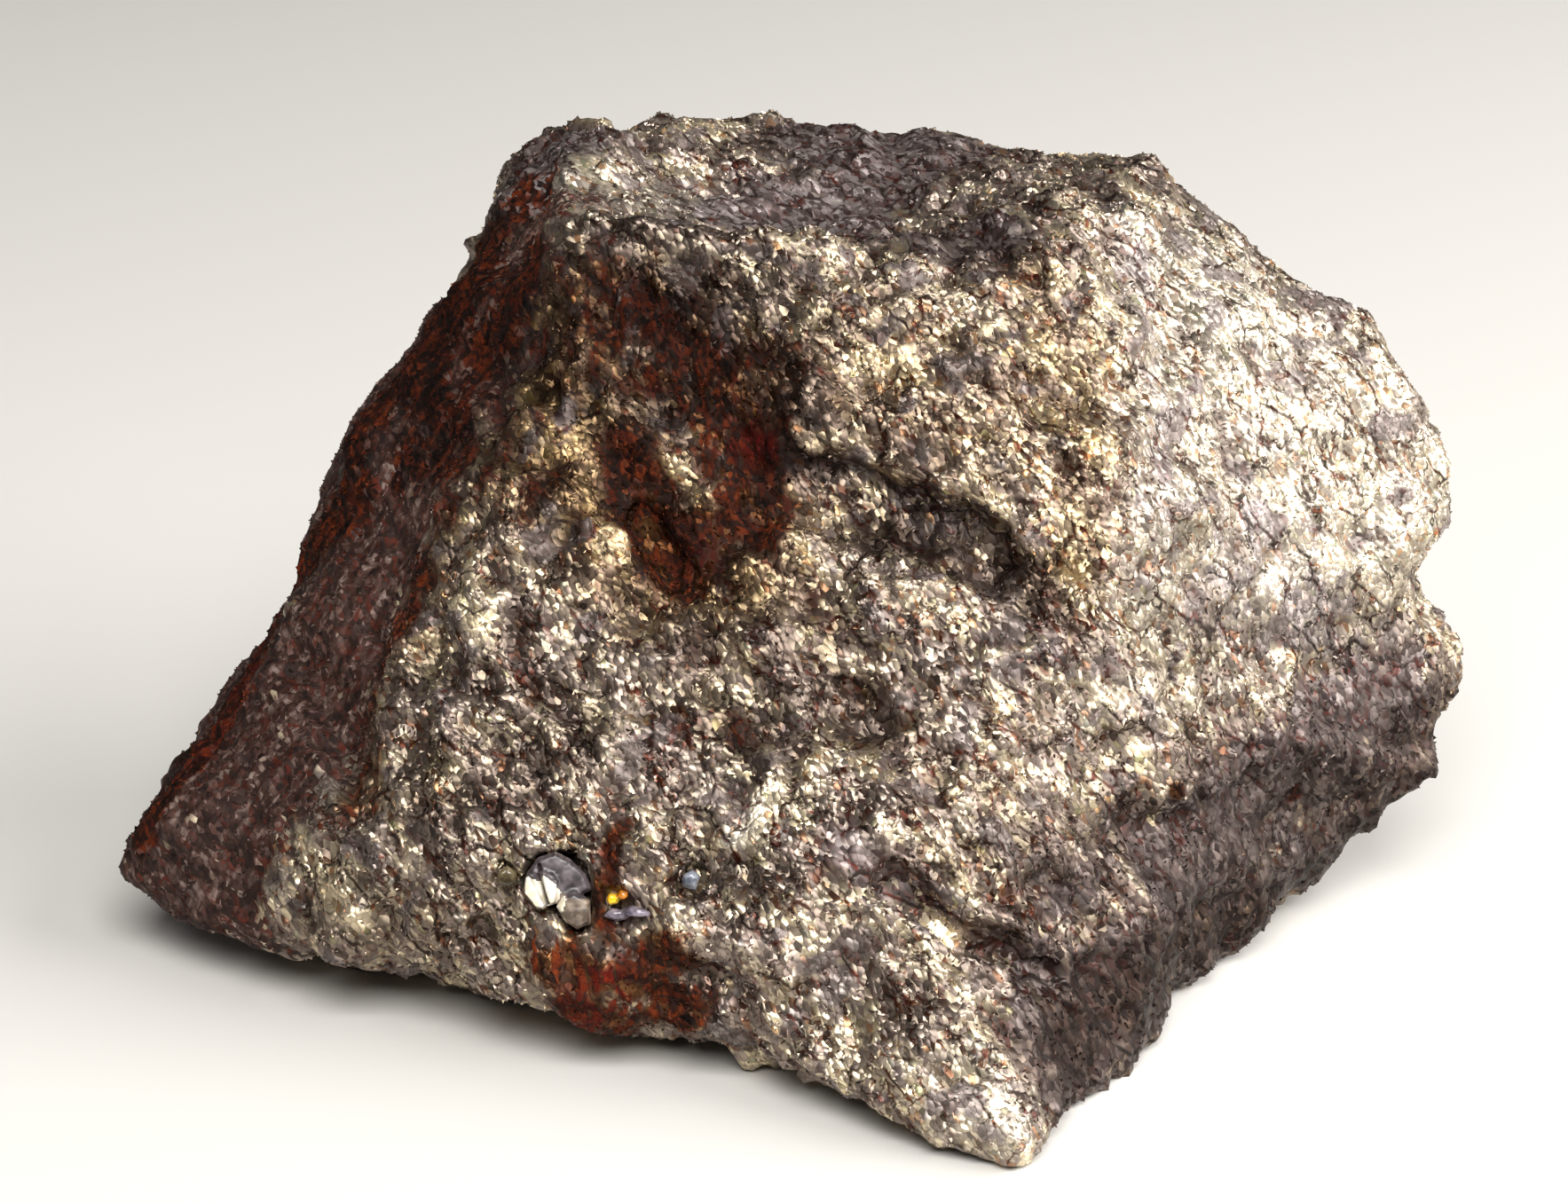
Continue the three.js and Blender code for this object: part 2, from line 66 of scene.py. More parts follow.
def add_node(tree, kind, *values, sockets=None, stops=(), **settings):
    """Adds a node with its settings and gives its outputs. Values go on its inputs in order, or by socket,
    and are numbers, vectors, colours or other nodes' outputs. Stops are the places and colours of a ramp."""
    node = tree.nodes.new(kind)
    for name, value in settings.items():
        setattr(node, name, value)
    for name, value in [*enumerate(values), *(sockets or {}).items()]:
        if isinstance(value, bpy.types.NodeSocket):
            tree.links.new(value, node.inputs[name])
        else:
            node.inputs[name].default_value = value
    for number, (share, hex_colour) in enumerate(stops):
        element = node.color_ramp.elements[number] if number < 2 else node.color_ramp.elements.new(share)
        element.position = share
        element.color = linear(hex_colour)
    return node.outputs


def new_material(name):
    """An empty node material and its tree."""
    material = bpy.data.materials.new(name)
    material.use_nodes = True
    material.node_tree.nodes.clear()
    return material, material.node_tree


def aim(thing, place):
    """Puts a camera or light at a place, facing the specimen."""
    thing.location = place
    thing.rotation_euler = (LOOK_AT - place).to_track_quat("-Z", "Y").to_euler()


def area_light(name, place, width, height, power):
    """A soft light with a rectangular face, turned to the specimen."""
    data = bpy.data.lights.new(name, "AREA")
    data.shape = "RECTANGLE"
    data.size = width
    data.size_y = height
    data.energy = power
    data.color = linear(LIGHT_TINT)[:3]
    light = bpy.data.objects.new(name, data)
    bpy.context.collection.objects.link(light)
    aim(light, Vector(place))


camera_data = bpy.data.cameras.new("camera")
camera_data.sensor_width = SENSOR_WIDTH
camera_data.lens = LENS
camera_data.clip_start = NEAREST_SEEN
camera = bpy.data.objects.new("camera", camera_data)
bpy.context.collection.objects.link(camera)
backwards = Vector((0, -math.cos(CAMERA_TILT), math.sin(CAMERA_TILT)))
aim(camera, LOOK_AT + CAMERA_DISTANCE * backwards)
bpy.context.scene.camera = camera
bpy.context.scene.view_settings.view_transform = "Standard"

area_light("key_light", place=(0.52, -0.06, 0.33), width=0.62, height=0.46, power=6.8)
area_light("front_light", place=(0.02, -0.40, 0.52), width=0.46, height=0.40, power=6.5)

world = bpy.data.worlds.new("studio")
bpy.context.scene.world = world
world.use_nodes = True
world.node_tree.nodes["Background"].inputs["Color"].default_value = linear(FILL_TINT)
world.node_tree.nodes["Background"].inputs["Strength"].default_value = FILL_STRENGTH

bpy.ops.object.select_all(action="DESELECT")
bpy.ops.mesh.primitive_plane_add(size=FLOOR_SIZE)
floor = bpy.context.object
floor.name = "floor"
# Matt studio paper: an even pale grey with no gloss, so that only the shadow shows on it
paper, tree = new_material("matt studio paper")
paper_finish = {"Base Color": linear(PAPER_TINT), "Roughness": PAPER_ROUGHNESS}
shader = add_node(tree, "ShaderNodeBsdfPrincipled", sockets=paper_finish)
add_node(tree, "ShaderNodeOutputMaterial", shader["BSDF"])
floor.data.materials.append(paper)


# The lump of ore: massive chalcopyrite, grown as one mass of interlocking grains and broken off its vein.
# The break is hackly, in small flat chips between open cracks, and iron oxide has stained the older faces.
MERGE_DISTANCE = 0.002 * MM
VOXEL = 0.47 * MM
EASING = 0.5
EASING_ROUNDS = 6
SWELL_SIZE = 6.5 * MM
SWELL_HEIGHT = 0.32 * MM

# The flat chips of the break: how steeply those of each size lean, how far their walls wander, and the share
# of a chip that its soft edge takes
CHIPS = {3.6 * MM: 0.55, 1.9 * MM: 0.95, 1.1 * MM: 0.8}
CHIP_WANDER = 0.35
CHIP_EDGE = 0.22

# Open cracks round cells of the ore. Each takes a share of its cell, and they open only in some patches
CRACK_CELL = 3.1 * MM
CRACK_WANDER = 0.6
CRACK_SHARE = 0.11
CRACK_DEPTH = 0.42 * MM
CRACKED_PATCH = 5 * MM
CRACKED_EDGE = (0.38, 0.6)

# The ways that the ore's grain, the ribs of the flank and the flutes of the stained hollows run, and how far
# each pattern is drawn out along its way
GRAIN_WAY = Vector((0.55, -0.45, -0.70)).normalized()
GRAIN_PULL = 0.45
RIB_SIZE = 1.6 * MM
RIB_HEIGHT = 1.1 * MM
RIB_WAYS = {
    "ribbed": Vector((-0.5, -0.3, -0.8)).normalized(),
    "fluted": Vector((0.12, -0.35, -0.93)).normalized(),
}
RIB_PULL = 0.82

# Patterns that the finish follows, each with its size and detail, and how deep a hollow has to be for dirt
# and painted shade
MOTTLES = {"cluster": (2.6 * MM, 3.0), "grey": (2.9 * MM, 4.0), "crumble": (1.9 * MM, 4.0)}
HOLLOW_EDGE = (0.05 * MM, -0.4 * MM)

# The coated flank, the filmed top, the fresh right face and the stained places broke more evenly than the
# rest, and the walls of the pocket most of all
CALMING = {"coat": -0.4, "film": -0.35, "cream": -0.35, "pocket": -0.6, "fluted": -0.4}
LEAST_BREAK = 0.4

# Settings that the patterns' nodes share: cells as big as what a place is counted in, shaken so many times a
# cell, the distance to a cell's wall, soft edges, and mixes of colour that cover or tint what is under them
SHAKES = 1.3
IN_CELLS = {"Scale": 1.0}
TO_WALL = {"feature": "DISTANCE_TO_EDGE"}
SMOOTH = {"interpolation_type": "SMOOTHSTEP"}
LAYER = {"data_type": "RGBA"}
TINTING = {"data_type": "RGBA", "blend_type": "MULTIPLY"}

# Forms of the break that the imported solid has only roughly: the path of each, its reach to each side and how
# far it stands out of the surface, in millimetres
FORMS = {
    "gully": (
        [(0, -4.4, 33.6), (3.2, -4.9, 32.9), (6.6, -6.3, 31.6), (10.5, -7.7, 30.6), (12, -9, 28.7)],
        3.0, -1.7,
    ),
    "ridge under the gully": ([(5.5, -6.3, 30.1), (10, -8.1, 29.3), (13.3, -9.2, 28.2)], 2.0, 0.7),
    "groove low on the front": (
        [(5.2, -25.4, 14.1), (7.7, -25.5, 12.5), (9.9, -26.2, 11.2), (12.4, -25.7, 9.8), (15.4, -25.7, 8.5)],
        1.7, -2.1,
    ),
    "end of the groove": ([(15.1, -25.7, 8.7), (19, -23, 6)], 2.0, -0.7),
    "crease of the flank": (
        [(-33.8, 0, 19.5), (-31, -5.6, 17.4), (-28.8, -11.2, 16), (-27.4, -14.7, 15)],
        2.4, -0.9,
    ),
    "nodule": ([(-12.5, -6.5, 29.5)], 1.9, 1.0),
    "edge of the boss": ([(16, 4, 44.7), (18.5, 1.3, 41.4), (19.1, -4.7, 35.6), (18.7, -9, 28.7)], 2.4, 0.5),
    "rim of the boss": ([(1.5, 1.4, 43.1), (5, 4, 43.5), (8.5, 5.9, 44.1), (12, 6.2, 44.9)], 2.0, 0.6),
    "left side of the boss": ([(0, 0.6, 41.5), (0.6, -2.2, 38), (1, -3.2, 35.5)], 1.8, 0.5),
    "hollow of the top": ([(6.4, 16.4, 44.5), (11, 9.8, 45.3), (13.1, 7.5, 45.6)], 4.0, -0.9),
    "cleft": ([(-10.3, -4.4, 30), (-8.2, -6.8, 27.2)], 1.8, -1.1),
    "hollow of the red patch": ([(-3.7, -2.6, 34.8), (-2.5, -4.7, 30.7)], 2.2, -0.8),
    "first sliver": ([(-11.5, 4.3, 42.6), (-11.3, 3.2, 40.6)], 1.2, 0.4),
    "second sliver": ([(-5.2, 2, 42), (-5.4, 0.8, 40.2)], 1.1, 0.4),
    "third sliver": ([(-15.2, 0.3, 36.8), (-15.4, -0.6, 35)], 1.1, 0.4),
    "rim of the pocket": ([(-16.6, -21.5, 14.3), (-14.7, -21.9, 13.9), (-13.5, -22.3, 12.2)], 1.5, 0.4),
    "pit at the boss": ([(17.6, -9.2, 28.8)], 1.0, -0.7),
    "pits of the right face": ([(31.8, 8.8, 37.3)], 0.8, -0.6),
    "low pit of the right face": ([(35.2, 4.4, 28.5)], 0.8, -0.6),
}

# Where each finish lies: the path of each patch in millimetres, its reach to each side and its strength. The
# last ones of a finish, with a strength below 0, keep it off a place. No patch is stronger than the fullest
FULLEST = 1.2
PATCHES = {
    "coat": [
        ([(-19, 12, 41), (-25, 7, 34), (-29.5, 2, 26.5), (-34, -6, 16.5), (-41, -9, 8)], 12, 1.5),
        ([(-34, -2, 14), (-36, -10, 5)], 8, 1.1),
        ([(-27.5, 16, 34), (-33, 14, 24), (-39, 6, 12), (-44, -3, 5)], 12, 1.3),
        ([(-18.6, 19, 45.3), (-18, 12, 43.5)], 4, 0.8),
        ([(-15, -23.3, 7.5), (-8.6, -24.8, 8.9)], 3.5, 0.4),
    ],
    "rust": [
        (
            [(-21, 17.5, 42.6), (-26, 11.8, 36.3), (-30, 8.2, 31.5), (-31, 6.5, 26.8), (-34.5, 9.5, 20.4)],
            5, 1.1,
        ),
        ([(-34.5, 9.5, 20.4), (-36.6, 3.4, 17.4), (-40, -3.3, 13.2), (-43.5, -7, 9.7)], 3.6, 1.0),
        ([(-22.9, 12.8, 40), (-25.1, 8.8, 35.7), (-23.7, 4.2, 32.3)], 8, 0.95),
        ([(-21.5, 8, 37.5), (-19, 7.6, 41.7)], 5.5, 1.0),
        ([(-22, 1, 33), (-24.5, -3.3, 26), (-27.5, -6.6, 19.1), (-28.6, -13.9, 14.8)], 4.0, 0.6),
        ([(-18.6, 19, 45.3), (-18, 9.6, 43.5)], 4.5, 0.8),
        ([(-17.8, 6.6, 42), (-11.8, 4.7, 42.7), (-6, 1.6, 40.6), (-0.2, -2.6, 37.2)], 5.5, 0.55),
        ([(-10.7, 4.4, 42.7), (-6, 0.3, 38.6), (-3, -2.6, 34.8), (-2.5, -4.7, 30.7)], 5.5, 0.8),
        ([(-18, 5.5, 40), (-16.5, 2.9, 37.7), (-14, 2, 38)], 4.5, 0.5),
        ([(-11, -2, 34), (-9.4, -4.7, 29.5), (-8.2, -6.8, 27.2), (-5.9, -6, 30)], 5.0, 0.8),
        ([(-10.3, -4.4, 30), (-8.2, -6.8, 27.2)], 2.4, 1.2),
        ([(-18, 5, 41), (-12, 3, 42), (-8, 0, 38), (-3, -3, 34)], 10, 0.5),
        ([(-19.8, -2.1, 33.4), (-15, -4.9, 32), (-6, -6.4, 29)], 8, 0.4),
        ([(-12, -6, 29), (-8, -13, 23), (-3, -17, 20)], 8, 0.3),
        ([(1, -10.5, 26.3), (3.7, -13.4, 22), (7.5, -20, 18.8), (10, -22.4, 15)], 4.5, 0.3),
        ([(23.9, -13.7, 15.3)], 1.3, 1.0),
        ([(32.5, -4, 10.4)], 1.5, 1.0),
        ([(22.2, -19.8, 7)], 1.3, 0.9),
        ([(-11.4, -20.2, 15.8), (-12.6, -21.9, 12.6), (-13, -22.6, 11), (-12.2, -23.6, 9.6)], 1.6, 0.85),
        ([(-15.5, -22.5, 7.5), (-11.3, -24.7, 7.2), (-8.6, -24.8, 8.9)], 4.2, 0.85),
        ([(-14.5, -24, 4), (-13.6, -24.7, 3.5), (-10, -25, 3), (-8, -25, 5)], 4.5, 0.85),
        ([(-10, 30, 25), (4, 33, 22), (12, 31, 12)], 9, 0.7),
        ([(25, 24, 30), (20, 27, 20)], 6, 0.6),
        ([(-12.5, -6.5, 29.5)], 2.6, -1),
    ],
    "red": [
        ([(-3.1, -2.6, 34.8)], 2.4, 1.2),
        ([(-6, -6.4, 28.3)], 2.0, 0.7),
        ([(-13.6, -24.7, 3.5), (-12.5, -24.6, 7)], 3, 0.6),
        ([(-34.5, 9.5, 20.4), (-36.6, 3.4, 17.4), (-40, -3.3, 13.2)], 3, 0.35),
    ],
    "film": [
        ([(-18, 19, 45.3), (-16.5, 22, 47.3)], 6.5, 1.3),
        ([(-3.2, 16.5, 44.5), (2.9, 19.5, 44.2), (8.4, 25.2, 46.3), (2.9, 26.6, 46.5)], 8, 1.3),
        ([(5.7, 13.1, 44.3), (9.2, 9.5, 44.9), (12.5, 8.5, 45.6)], 5, 1.2),
        ([(-8.3, 9, 46.8), (-4, 11, 45.2)], 5, 0.9),
        ([(0, -4.4, 33.6), (6.6, -6.3, 31.6), (11.9, -8.9, 28.7)], 4.5, 0.75),
        ([(2, -23.5, 15.8), (9.9, -26.2, 11.2), (19.2, -23.1, 6.1)], 3.0, 0.95),
        ([(17.6, -20.7, 11.8), (22.6, -12.7, 12.4), (28.7, -7.9, 13.6), (40.6, 4.9, 16)], 6.5, 0.6),
        ([(24.3, -15, 9), (33.9, -3.7, 12.7), (39.2, 2, 14.1)], 9, 1.1),
        ([(16.2, -28.1, 4.3), (24, -16, 5), (36, -4, 3), (43, 6, 8)], 9, 1.1),
        ([(22.5, 10.5, 44.5), (23, 1, 37.4), (22.6, -4.5, 32.5), (22, -8, 28)], 3.4, 0.5),
        ([(30, 0, 28), (27, -4, 24), (33, 1, 22)], 6, 0.6),
        ([(-16, -9, 24), (-10, -14, 20)], 7, 0.4),
        ([(18.9, -13.8, 24), (6, -14, 24), (-2, -12, 25)], 5, 0.35),
        ([(-11.5, 4.3, 42.6), (-11.3, 3.2, 40.6)], 1.3, 1.6),
        ([(-5.2, 2, 42), (-5.4, 0.8, 40.2)], 1.2, 1.6),
        ([(-2.3, 3.3, 43.2), (-2.2, 2.3, 42)], 1.1, 1.6),
        ([(-15.2, 0.3, 36.8), (-15.4, -0.6, 35)], 1.2, 1.6),
        ([(-10.6, -3.2, 33.4), (-10.8, -4.2, 31.8)], 1.1, 1.6),
        ([(30, 25, 15), (38, 18, 15)], 12, 0.8),
        ([(-20, 28, 20), (-5, 33, 12)], 10, 0.7),
    ],
    "cream": [
        ([(24.5, 11, 44.5), (25.5, 1.7, 36.3), (24.5, -5.1, 32), (23.5, -7.5, 26.5)], 6.5, 1.9),
        ([(28.2, 10.1, 40.9), (35.3, 6.7, 32.7), (39, 8, 27), (31, -1, 26)], 12, 1.9),
        ([(18.9, -13.8, 22.2), (26.9, -6.2, 20.2)], 4.5, 0.8),
        ([(10.5, -34, 4.4), (13.1, -35.9, 2.4)], 6, 0.8),
        ([(-3, -21, 16.8)], 3, 0.7),
        ([(-12.5, -6.5, 29.5)], 2.4, 1.6),
        ([(-3.2, -20.5, 17.2), (-3.9, -21.4, 15.8)], 1.8, 1.8),
        ([(-14.5, 15.3, 47.3), (-12, 12.2, 46.4), (-8.6, 16.7, 45.7)], 6, 0.9),
        ([(-30.9, -16.7, 7.3), (-26.2, -17.9, 9.8)], 4, 0.5),
    ],
    "gold": [
        ([(14.8, 3.4, 44), (17.3, -0.6, 39), (17.8, -5.9, 34.8), (17, -9, 29)], 4.5, 0.45),
        ([(6, -2, 40), (8, -4, 35), (14, -4, 38)], 9, 0.35),
        ([(-26, -7.8, 22.1), (-24.3, -6.8, 24.1), (-23.2, -5.1, 27.2), (-22.1, -3.1, 30.1)], 3, 0.35),
        ([(-18, 4, 39), (-15, -3, 33.5), (-10, -6, 29), (-4, -7, 28)], 9, 0.75),
        ([(-32, -16, 6), (-24, -19, 9)], 4, 0.15),
    ],
    # Dusky patches are painted shade, partly a darker tarnish: on faces turned from the light, in the gully,
    # the valley and the groove low on the front
    "dusky": [
        ([(5.2, -25.4, 14.1), (9.9, -26.2, 11.2), (15.4, -25.7, 8.5)], 2.0, 1.2),
        ([(10.8, -23.1, 14.1), (14.9, -23.9, 10.5), (19.2, -22.8, 6.6)], 6, 0.45),
        ([(15, -22, 13), (17.6, -20.7, 11.8), (22.6, -12.7, 12.4)], 8, 0.6),
        ([(24.3, -15, 9), (33.9, -3.7, 11), (41, 4, 11)], 10, 0.9),
        ([(16.2, -28.1, 4.3), (24, -16, 5), (36, -4, 3), (43, 6, 8)], 9, 1.2),
        ([(18.9, -13.8, 24), (30, -4, 22), (40, 4, 20)], 6.5, 0.5),
        ([(-22.9, 12.8, 40), (-25.1, 8.8, 35.7), (-23.7, 4.2, 32.3)], 7, 0.9),
        ([(-18, 6, 41), (-11.8, 4.7, 42.7), (-6, 3, 42), (-2.5, -0.8, 39), (-1, -3, 35)], 8, 0.9),
        ([(-20, 7, 37.5), (-15, 0.3, 36.8), (-8.3, -0.1, 37)], 8, 0.85),
        ([(-19.8, -2.1, 33.4), (-15, -4.9, 32), (-6, -6.4, 29)], 7, 0.7),
        ([(-1, 3, 43.6), (0.5, 0, 40), (1, -3, 36)], 5, 0.6),
        ([(2, 1, 42), (4, -2, 38), (9, -4, 36), (14, -3, 39)], 8, 0.35),
        ([(-23, -9, 23), (-17.2, -11.8, 22.5), (-11.6, -10.7, 24.5)], 7, 0.4),
        ([(-23.8, -16.8, 16.1), (-18.8, -16.1, 17.6), (-14.3, -15.4, 19.8)], 6.5, 0.5),
        ([(-31, -16, 8), (-21, -19, 10)], 6, 0.45),
        ([(-12, -6, 29), (-6, -10, 26), (2, -13, 23)], 8, 0.5),
        ([(-8, -13, 23), (-3.6, -17.4, 20), (5.3, -16, 20.6)], 5, 0.45),
        ([(0, -5, 33), (6, -7, 31), (11.9, -8.9, 28.7), (15, -10, 27)], 5.0, 0.9),
        ([(9, 9.5, 44.8), (12.5, 7.5, 45)], 3.5, 0.9),
        ([(-34, -2, 14), (-40, -6, 8)], 9, 0.3),
        ([(-21, 17.5, 42), (-30, 9, 30), (-37, 5, 18), (-43, -5, 9)], 5, 0.6),
        ([(-12.5, -6.5, 29.5)], 2.6, -1),
        ([(-3.6, -20.8, 16.7)], 2.6, -1),
    ],
    "gleam": [
        ([(-3.2, -20.5, 17.2), (-3.9, -21.4, 15.8)], 2.2, 0.9),
        ([(10.5, -34, 4.4), (11.5, -34.5, 3.4)], 4.0, 0.7),
        ([(35.3, 6.7, 32.7), (34, 4.5, 30.5)], 4.5, 0.4),
        ([(-12.5, -6.5, 29.5)], 2.2, 1.2),
        ([(8, -23.4, 16.1)], 2.4, 0.8),
        ([(22.4, -12.1, 21.4), (20, -13.5, 21.8)], 3.0, 0.8),
        ([(-25.6, -18.3, 9.3)], 2.2, 0.7),
        ([(-21, -10, 24)], 2.0, 0.7),
        ([(6, 0.5, 40.5), (9, -1, 38.5)], 3.0, 0.5),
    ],
    "pocket": [([(-17, -21.8, 12.2), (-14.5, -22, 11.6), (-11, -22.8, 11.2)], 3.0, 1.2)],
    "ribbed": [
        ([(-23.7, 5.1, 33.9), (-27.8, 1.6, 25.8), (-33.2, -7.8, 15.2), (-41, -9, 8)], 10, 0.7),
    ],
    "fluted": [
        ([(-15.5, -22.5, 8), (-12.5, -24.7, 4), (-11.3, -24.7, 6), (-8.6, -24.8, 8)], 5, 1.2),
        ([(-17, 5, 41), (-10, 3, 42), (-5, -1, 37), (-4, -5, 31)], 6, 0.8),
        ([(-10.3, -4.4, 30), (-8.2, -6.8, 27.2)], 4, 1.2),
    ],
}


def only(piece):
    """Selects one object and makes it the active one."""
    bpy.ops.object.select_all(action="DESELECT")
    piece.select_set(True)
    bpy.context.view_layer.objects.active = piece


def finish_modifier(piece, name, kind, **settings):
    """Adds a modifier to a piece and applies it."""
    modifier = piece.modifiers.new(name, kind)
    for key, value in settings.items():
        setattr(modifier, key, value)
    only(piece)
    bpy.ops.object.modifier_apply(modifier=modifier.name)


def copy_of(node_name, piece_name):
    """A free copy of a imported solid, with its loose triangles joined up."""
    piece = bpy.data.objects.new(piece_name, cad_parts[node_name].data.copy())
    bpy.context.collection.objects.link(piece)
    piece.data.materials.clear()
    only(piece)
    bpy.ops.object.mode_set(mode="EDIT")
    bpy.ops.mesh.select_all(action="SELECT")
    bpy.ops.mesh.remove_doubles(threshold=MERGE_DISTANCE)
    bpy.ops.object.mode_set(mode="OBJECT")
    return piece


def shape_tree(name):
    """A new geometry tree, with its start."""
    tree = bpy.data.node_groups.new(name, "GeometryNodeTree")
    tree.interface.new_socket("Geometry", in_out="INPUT", socket_type="NodeSocketGeometry")
    tree.interface.new_socket("Geometry", in_out="OUTPUT", socket_type="NodeSocketGeometry")
    return tree, add_node(tree, "NodeGroupInput")[0]


def weighed(tree, start, *parts):
    """A start and some parts added to it, each times its weight."""
    for part, weight in parts:
        start = add_node(tree, "ShaderNodeMath", part, weight, start, operation="MULTIPLY_ADD")[0]
    return start


def streaked(tree, place, way, pull):
    """A place squeezed along a direction, so that a pattern comes out drawn along it."""
    along = add_node(tree, "ShaderNodeVectorMath", place, way, operation="DOT_PRODUCT")["Value"]
    drop = add_node(tree, "ShaderNodeMath", along, -pull, operation="MULTIPLY")[0]
    share = add_node(tree, "ShaderNodeVectorMath", way, sockets={"Scale": drop}, operation="SCALE")[0]
    return add_node(tree, "ShaderNodeVectorMath", place, share, operation="ADD")[0]


def cell_place(tree, place, size, wander):
    """A place counted in cells of a size, and shaken a little so that the cells' walls aren't straight."""
    coarse = {"Vector": place, "Scale": SHAKES / size, "Detail": 2.0}
    noise = add_node(tree, "ShaderNodeTexNoise", sockets=coarse)["Color"]
    shake = (wander,) * 3
    scaled = add_node(tree, "ShaderNodeVectorMath", place, sockets={"Scale": 1 / size}, operation="SCALE")[0]
    return add_node(tree, "ShaderNodeVectorMath", noise, shake, scaled, operation="MULTIPLY_ADD")[0]


def chip_height(tree, place, size, steepness):
    """Height, in metres, of flat chips of a size, each a small plane that is tilted its own way."""
    scaled = cell_place(tree, place, size, CHIP_WANDER)
    cell = add_node(tree, "ShaderNodeTexVoronoi", scaled, sockets=IN_CELLS)
    wall = add_node(tree, "ShaderNodeTexVoronoi", scaled, sockets=IN_CELLS, **TO_WALL)["Distance"]
    inside = add_node(tree, "ShaderNodeVectorMath", scaled, cell["Position"], operation="SUBTRACT")[0]
    tilt = add_node(tree, "ShaderNodeVectorMath", cell["Color"], (0.5, 0.5, 0.5), operation="SUBTRACT")[0]
    slope = add_node(tree, "ShaderNodeVectorMath", inside, tilt, operation="DOT_PRODUCT")["Value"]
    flat = add_node(tree, "ShaderNodeMapRange", wall, 0.0, CHIP_EDGE, **SMOOTH)[0]
    height = add_node(tree, "ShaderNodeMath", slope, flat, operation="MULTIPLY")[0]
    return add_node(tree, "ShaderNodeMath", height, size * steepness, operation="MULTIPLY")[0]


def crack_share(tree, place):
    """How deep in a crack a place lies, from 0 between the cracks to 1 in the bottom of one."""
    scaled = cell_place(tree, place, CRACK_CELL, CRACK_WANDER)
    wall = add_node(tree, "ShaderNodeTexVoronoi", scaled, sockets=IN_CELLS, **TO_WALL)["Distance"]
    near = add_node(tree, "ShaderNodeMapRange", wall, CRACK_SHARE, 0.0, **SMOOTH)[0]
    patchy = {"Vector": place, "Scale": 1 / CRACKED_PATCH, "Detail": 1.0}
    patchy = add_node(tree, "ShaderNodeTexNoise", sockets=patchy)["Fac"]
    cracked = add_node(tree, "ShaderNodeMapRange", patchy, *CRACKED_EDGE, **SMOOTH)[0]
    return add_node(tree, "ShaderNodeMath", near, cracked, operation="MULTIPLY")[0]


def places(piece):
    """The places of a piece's points, one row each, in metres."""
    found = np.empty(len(piece.data.vertices) * 3)
    piece.data.vertices.foreach_get("co", found)
    return found.reshape(-1, 3)


def put_places(piece, points):
    """Moves a piece's points."""
    piece.data.vertices.foreach_set("co", points.ravel())
    piece.data.update()


def normals(piece):
    """The outward directions at a piece's points, one row each."""
    found = np.empty(len(piece.data.vertices) * 3)
    piece.data.vertex_normals.foreach_get("vector", found)
    return found.reshape(-1, 3)


def nearness(points, path, reach):
    """How near each point is to a path in millimetres, from 1 on it down to 0 at its reach."""
    path = [np.array(place) * MM for place in path]
    distance = np.linalg.norm(points - path[0], axis=1)
    for start, end in zip(path, path[1:]):
        along = np.clip((points - start) @ (end - start) / ((end - start) @ (end - start)), 0, 1)
        offset = points - start - along[:, None] * (end - start)
        distance = np.minimum(distance, np.linalg.norm(offset, axis=1))
    share = np.clip(1 - distance / (reach * MM), 0, 1)
    return share * share * (3 - 2 * share)


def keep_attribute(piece, name, values):
    """Stores one number for each point, for the material to read."""
    attribute = piece.data.attributes.new(name, "FLOAT", "POINT")
    attribute.data.foreach_set("value", values.astype(np.float32))


